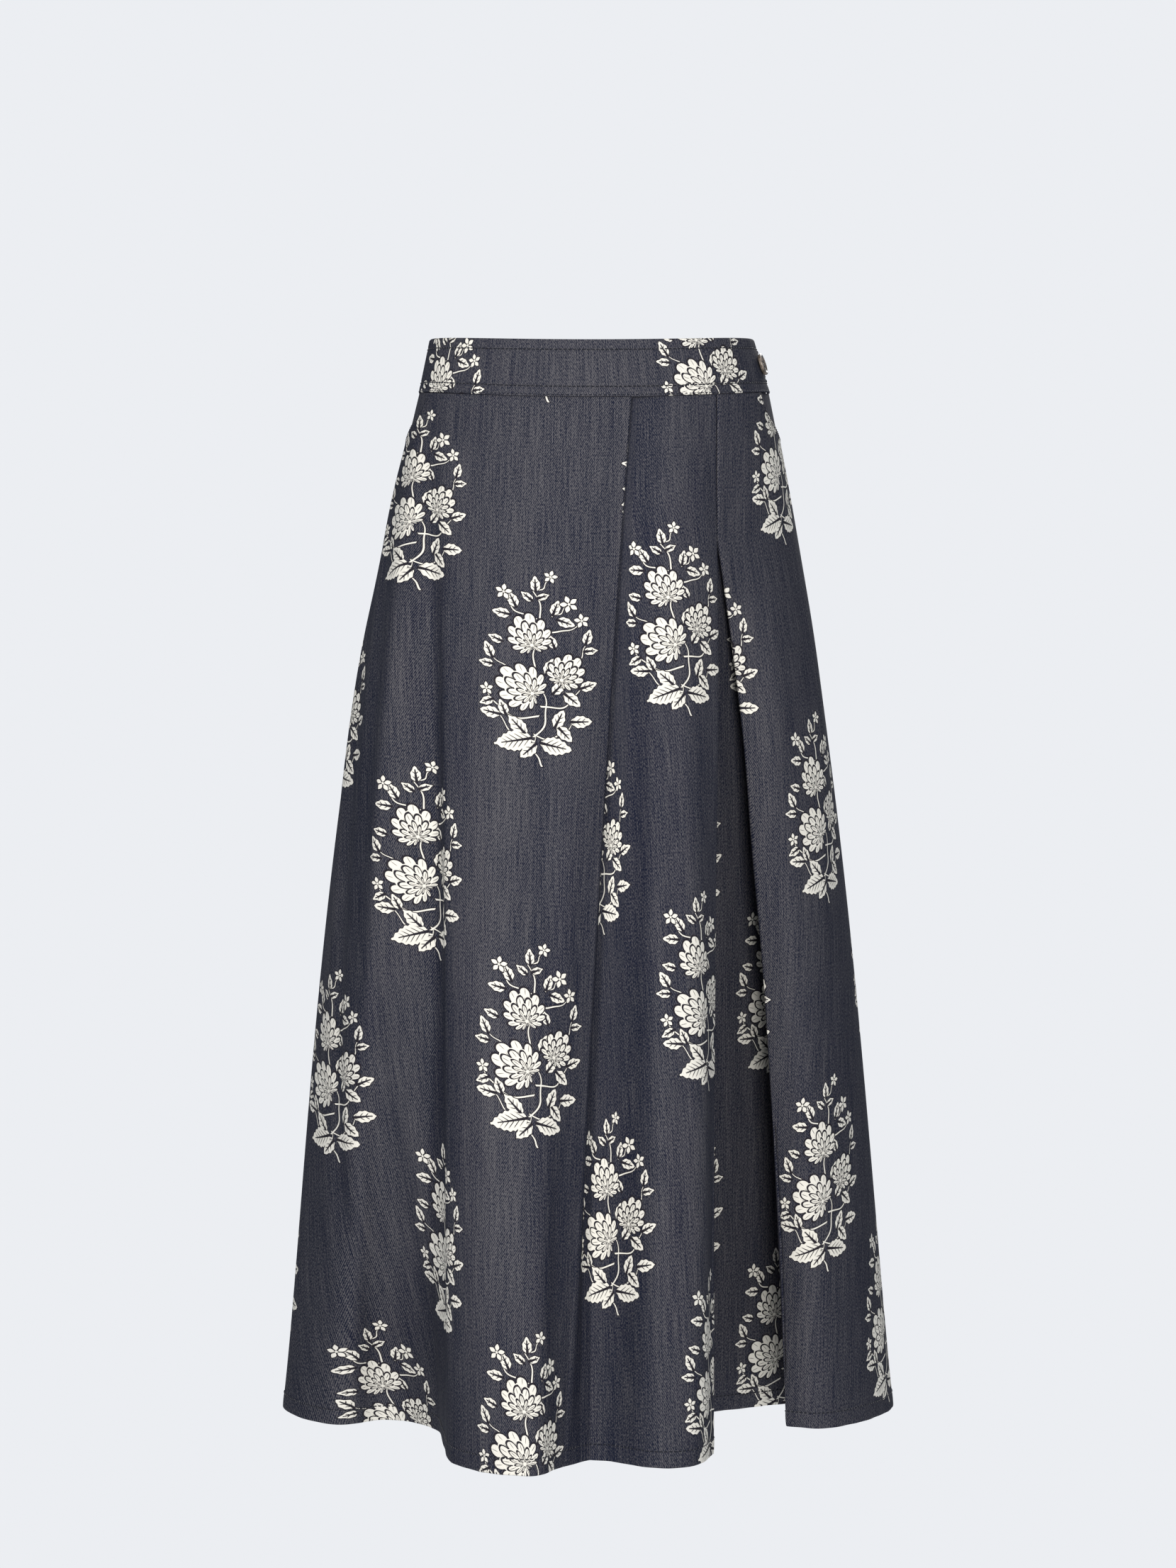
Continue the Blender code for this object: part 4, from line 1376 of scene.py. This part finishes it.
# %% The button's surface
def button_mesh(material):
    """Rings of the profile, read finely; inside the dish the height falls into the holes by a steep step."""
    radii, heights = np.array(BUTTON_PROFILE).T
    knots = path_length(np.array(BUTTON_PROFILE, dtype=float))
    wanted = np.linspace(POLE, knots[-1] - POLE, BUTTON_ROWS)
    radius, height = np.interp(wanted, knots, radii), np.interp(wanted, knots, heights)
    turn = np.arange(BUTTON_SIDES) * math.tau / BUTTON_SIDES
    x, y = radius[:, None] * np.cos(turn), radius[:, None] * np.sin(turn)
    z = height[:, None] + 0 * x
    hole_away = np.hypot(np.abs(x) - BUTTON_SPREAD, np.abs(y) - BUTTON_SPREAD)
    in_hole = np.clip((BUTTON_HOLE - hole_away) / HOLE_SLOPE, 0, 1)
    z -= HOLE_DEEP * in_hole * (wanted < knots[RIM_TOP])[:, None]
    place, along, up, out = button_axes()
    rows = place + x[..., None] * along + y[..., None] * up + z[..., None] * out
    rows = np.concatenate([rows, rows[:, :1]], axis=1)
    made = make_mesh("button_horn", rows, fan_of_faces(*rows.shape[:2], False), (material,))
    close_poles(made)
    return made


def close_poles(obj):
    """Welds the surface's last column to its first, fills the two small end rings and points faces out."""
    shape = bmesh.new()
    shape.from_mesh(obj.data)
    bmesh.ops.remove_doubles(shape, verts=shape.verts, dist=1e-6)
    bmesh.ops.holes_fill(shape, edges=[edge for edge in shape.edges if edge.is_boundary], sides=0)
    bmesh.ops.recalc_face_normals(shape, faces=shape.faces)
    shape.to_mesh(obj.data)
    shape.free()


# %% Horn
def horn_material():
    """Grey-brown horn with soft, cloudy streaks and a low polish."""
    material, tree, shader = surface_material("horn", roughness=0.32, specular=0.5)
    place = node(tree, "TexCoord").outputs["Object"]
    grain = {"Vector": place, "Scale": 260.0, "Detail": 3.0, "Distortion": 1.2}
    cloud = node(tree, "TexNoise", grain).outputs[0]
    ramp = node(tree, "ValToRGB", {0: cloud})
    stops = ((0.36, (0.030, 0.024, 0.020, 1)), (0.66, (0.20, 0.165, 0.135, 1)))
    for element, (position, colour) in zip(ramp.color_ramp.elements, stops):
        element.position, element.color = position, colour
    plug(tree, ramp.outputs[0], shader.inputs["Base Color"])
    bump(tree, shader, cloud, 0.05 * MM, strength=0.3)
    return material


button = button_mesh(horn_material())
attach(button, "root")
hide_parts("button")


# %% Thread through the button
STRAND_APART = 0.35  # from the middle of a pair to each strand
STRAND_THICK = 0.32
STRAND_LIFT, STRAND_ARCH = 2.35, 0.35  # height at the holes, and how much higher between them


def button_threads():
    """Two pairs of strands, each from hole to hole along the band, a little above the dish."""
    place, along, up, out = button_axes()
    groups = []
    for level in (-BUTTON_SPREAD, BUTTON_SPREAD):
        for nudge in (-STRAND_APART, STRAND_APART):
            span = np.linspace(-BUTTON_SPREAD, BUTTON_SPREAD, 9)
            lift = STRAND_LIFT + STRAND_ARCH * np.cos(span / BUTTON_SPREAD * math.pi / 2)
            path = place + span[:, None] * along + (level + nudge) * up + lift[:, None] * out
            outward = np.tile(out, (len(span), 1))
            groups.append(stitches(path, outward, 2 * BUTTON_SPREAD, 2 * BUTTON_SPREAD, STRAND_THICK))
    return groups


button_thread = joined_stitches("button_thread", button_threads(), thread)
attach(button_thread, "root")

# %% [markdown]
# ## Camera
# A level camera at hip height, far enough away that the skirt hardly tapers. Its frame is 1659 by 2212, and
# the photograph shows 0.55 mm a pixel at the skirt's middle.

# %% Camera
DISTANCE = 2.6
PIXEL = 0.00055
FRAME_HEIGHT = 2212
CAMERA_X, CAMERA_Z = -0.0014, -0.324
camera = add_object("camera", bpy.data.cameras.new("camera"))
camera.data.sensor_width = 36
camera.data.lens = camera.data.sensor_width * DISTANCE / (PIXEL * FRAME_HEIGHT)
camera.location = (CAMERA_X, -DISTANCE, CAMERA_Z)
camera.rotation_euler = (math.radians(90), 0, 0)
bpy.context.scene.camera = camera

# %% [markdown]
# ## Studio
# The camera sees an almost white backdrop, and a much weaker blue one fills the shadows. A broad, soft key
# light stands to the left of the camera and a little above, so that the surfaces that turn away fall off in
# tone. A second light, near the camera's own line, reaches into the pleat. One from above and one from
# behind keep the band and the back from going black. The floor melts into the backdrop.

# %% The backdrop
BACKDROP = (0.838, 0.855, 0.888, 1)
FILL_COLOUR = (0.62, 0.76, 1.0, 1)
FILL = 0.18

world = bpy.data.worlds.new("studio")
world.use_nodes = True
bpy.context.scene.world = world
bpy.context.scene.view_settings.view_transform = "Standard"
tree = world.node_tree
seen = node(tree, "Background", {"Color": BACKDROP, "Strength": 1.0}).outputs[0]
fill = node(tree, "Background", {"Color": FILL_COLOUR, "Strength": FILL}).outputs[0]
is_seen = node(tree, "LightPath").outputs["Is Camera Ray"]
both = node(tree, "MixShader", {0: is_seen, 1: fill, 2: seen}).outputs[0]
plug(tree, both, tree.nodes["World Output"].inputs["Surface"])

# %% The floor
FLOOR = -1.02
FLOOR_HALF = 9
SHADE_REACH, SHADE_SOFT = 0.55, 0.5  # metres out to where the floor's own shade fades, and over how many
SHADE_SHARE = 0.22

floor_mesh = bpy.data.meshes.new("floor")
corners = [(x * FLOOR_HALF, y * FLOOR_HALF, FLOOR) for x, y in ((-1, -1), (1, -1), (1, 1), (-1, 1))]
floor_mesh.from_pydata(corners, [], [(0, 1, 2, 3)])
floor = add_object("floor", floor_mesh)
material, tree, shader = surface_material("floor", roughness=0.9)
shader.inputs["Base Color"].default_value = (0.8, 0.8, 0.81, 1)
place = node(tree, "TexCoord").outputs["Object"]
away = Field(tree, node(tree, "VectorMath", {0: place}, operation="LENGTH").outputs["Value"])
melted = 1.0 - away.soft_below(SHADE_REACH, SHADE_SOFT) * SHADE_SHARE
glow = node(tree, "Emission", {"Color": BACKDROP}).outputs[0]
whole = node(tree, "MixShader", {0: melted.socket, 1: shader.outputs[0], 2: glow}).outputs[0]
plug(tree, whole, tree.nodes["Material Output"].inputs["Surface"])
floor_mesh.materials.append(material)

# %% The lamps
Lamp = namedtuple("Lamp", "name x y z width height watts colour")
LAMPS = (
    Lamp("key", -0.95, -2.25, 0.75, 0.6, 0.9, 45, (1.0, 0.97, 0.93)),
    Lamp("front", 0.36, -2.5, 0.2, 0.6, 0.9, 48, (1.0, 0.98, 0.95)),
    Lamp("top", 0.0, 0.4, 2.2, 1.8, 1.8, 12, (0.92, 0.97, 1.0)),
    Lamp("back", 0.9, 2.3, 1.5, 1.2, 1.2, 70, (1.0, 0.98, 0.95)),
)
AIM = Vector((0, 0, -0.4))
for lamp in LAMPS:
    light = bpy.data.lights.new(lamp.name, "AREA")
    light.shape = "RECTANGLE"
    light.size, light.size_y = lamp.width, lamp.height
    light.energy = lamp.watts
    light.color = lamp.colour
    placed = add_object(lamp.name, light)
    placed.location = (lamp.x, lamp.y, lamp.z)
    placed.rotation_euler = (AIM - placed.location).to_track_quat("-Z", "Y").to_euler()
print("lights:", [lamp.name for lamp in LAMPS])
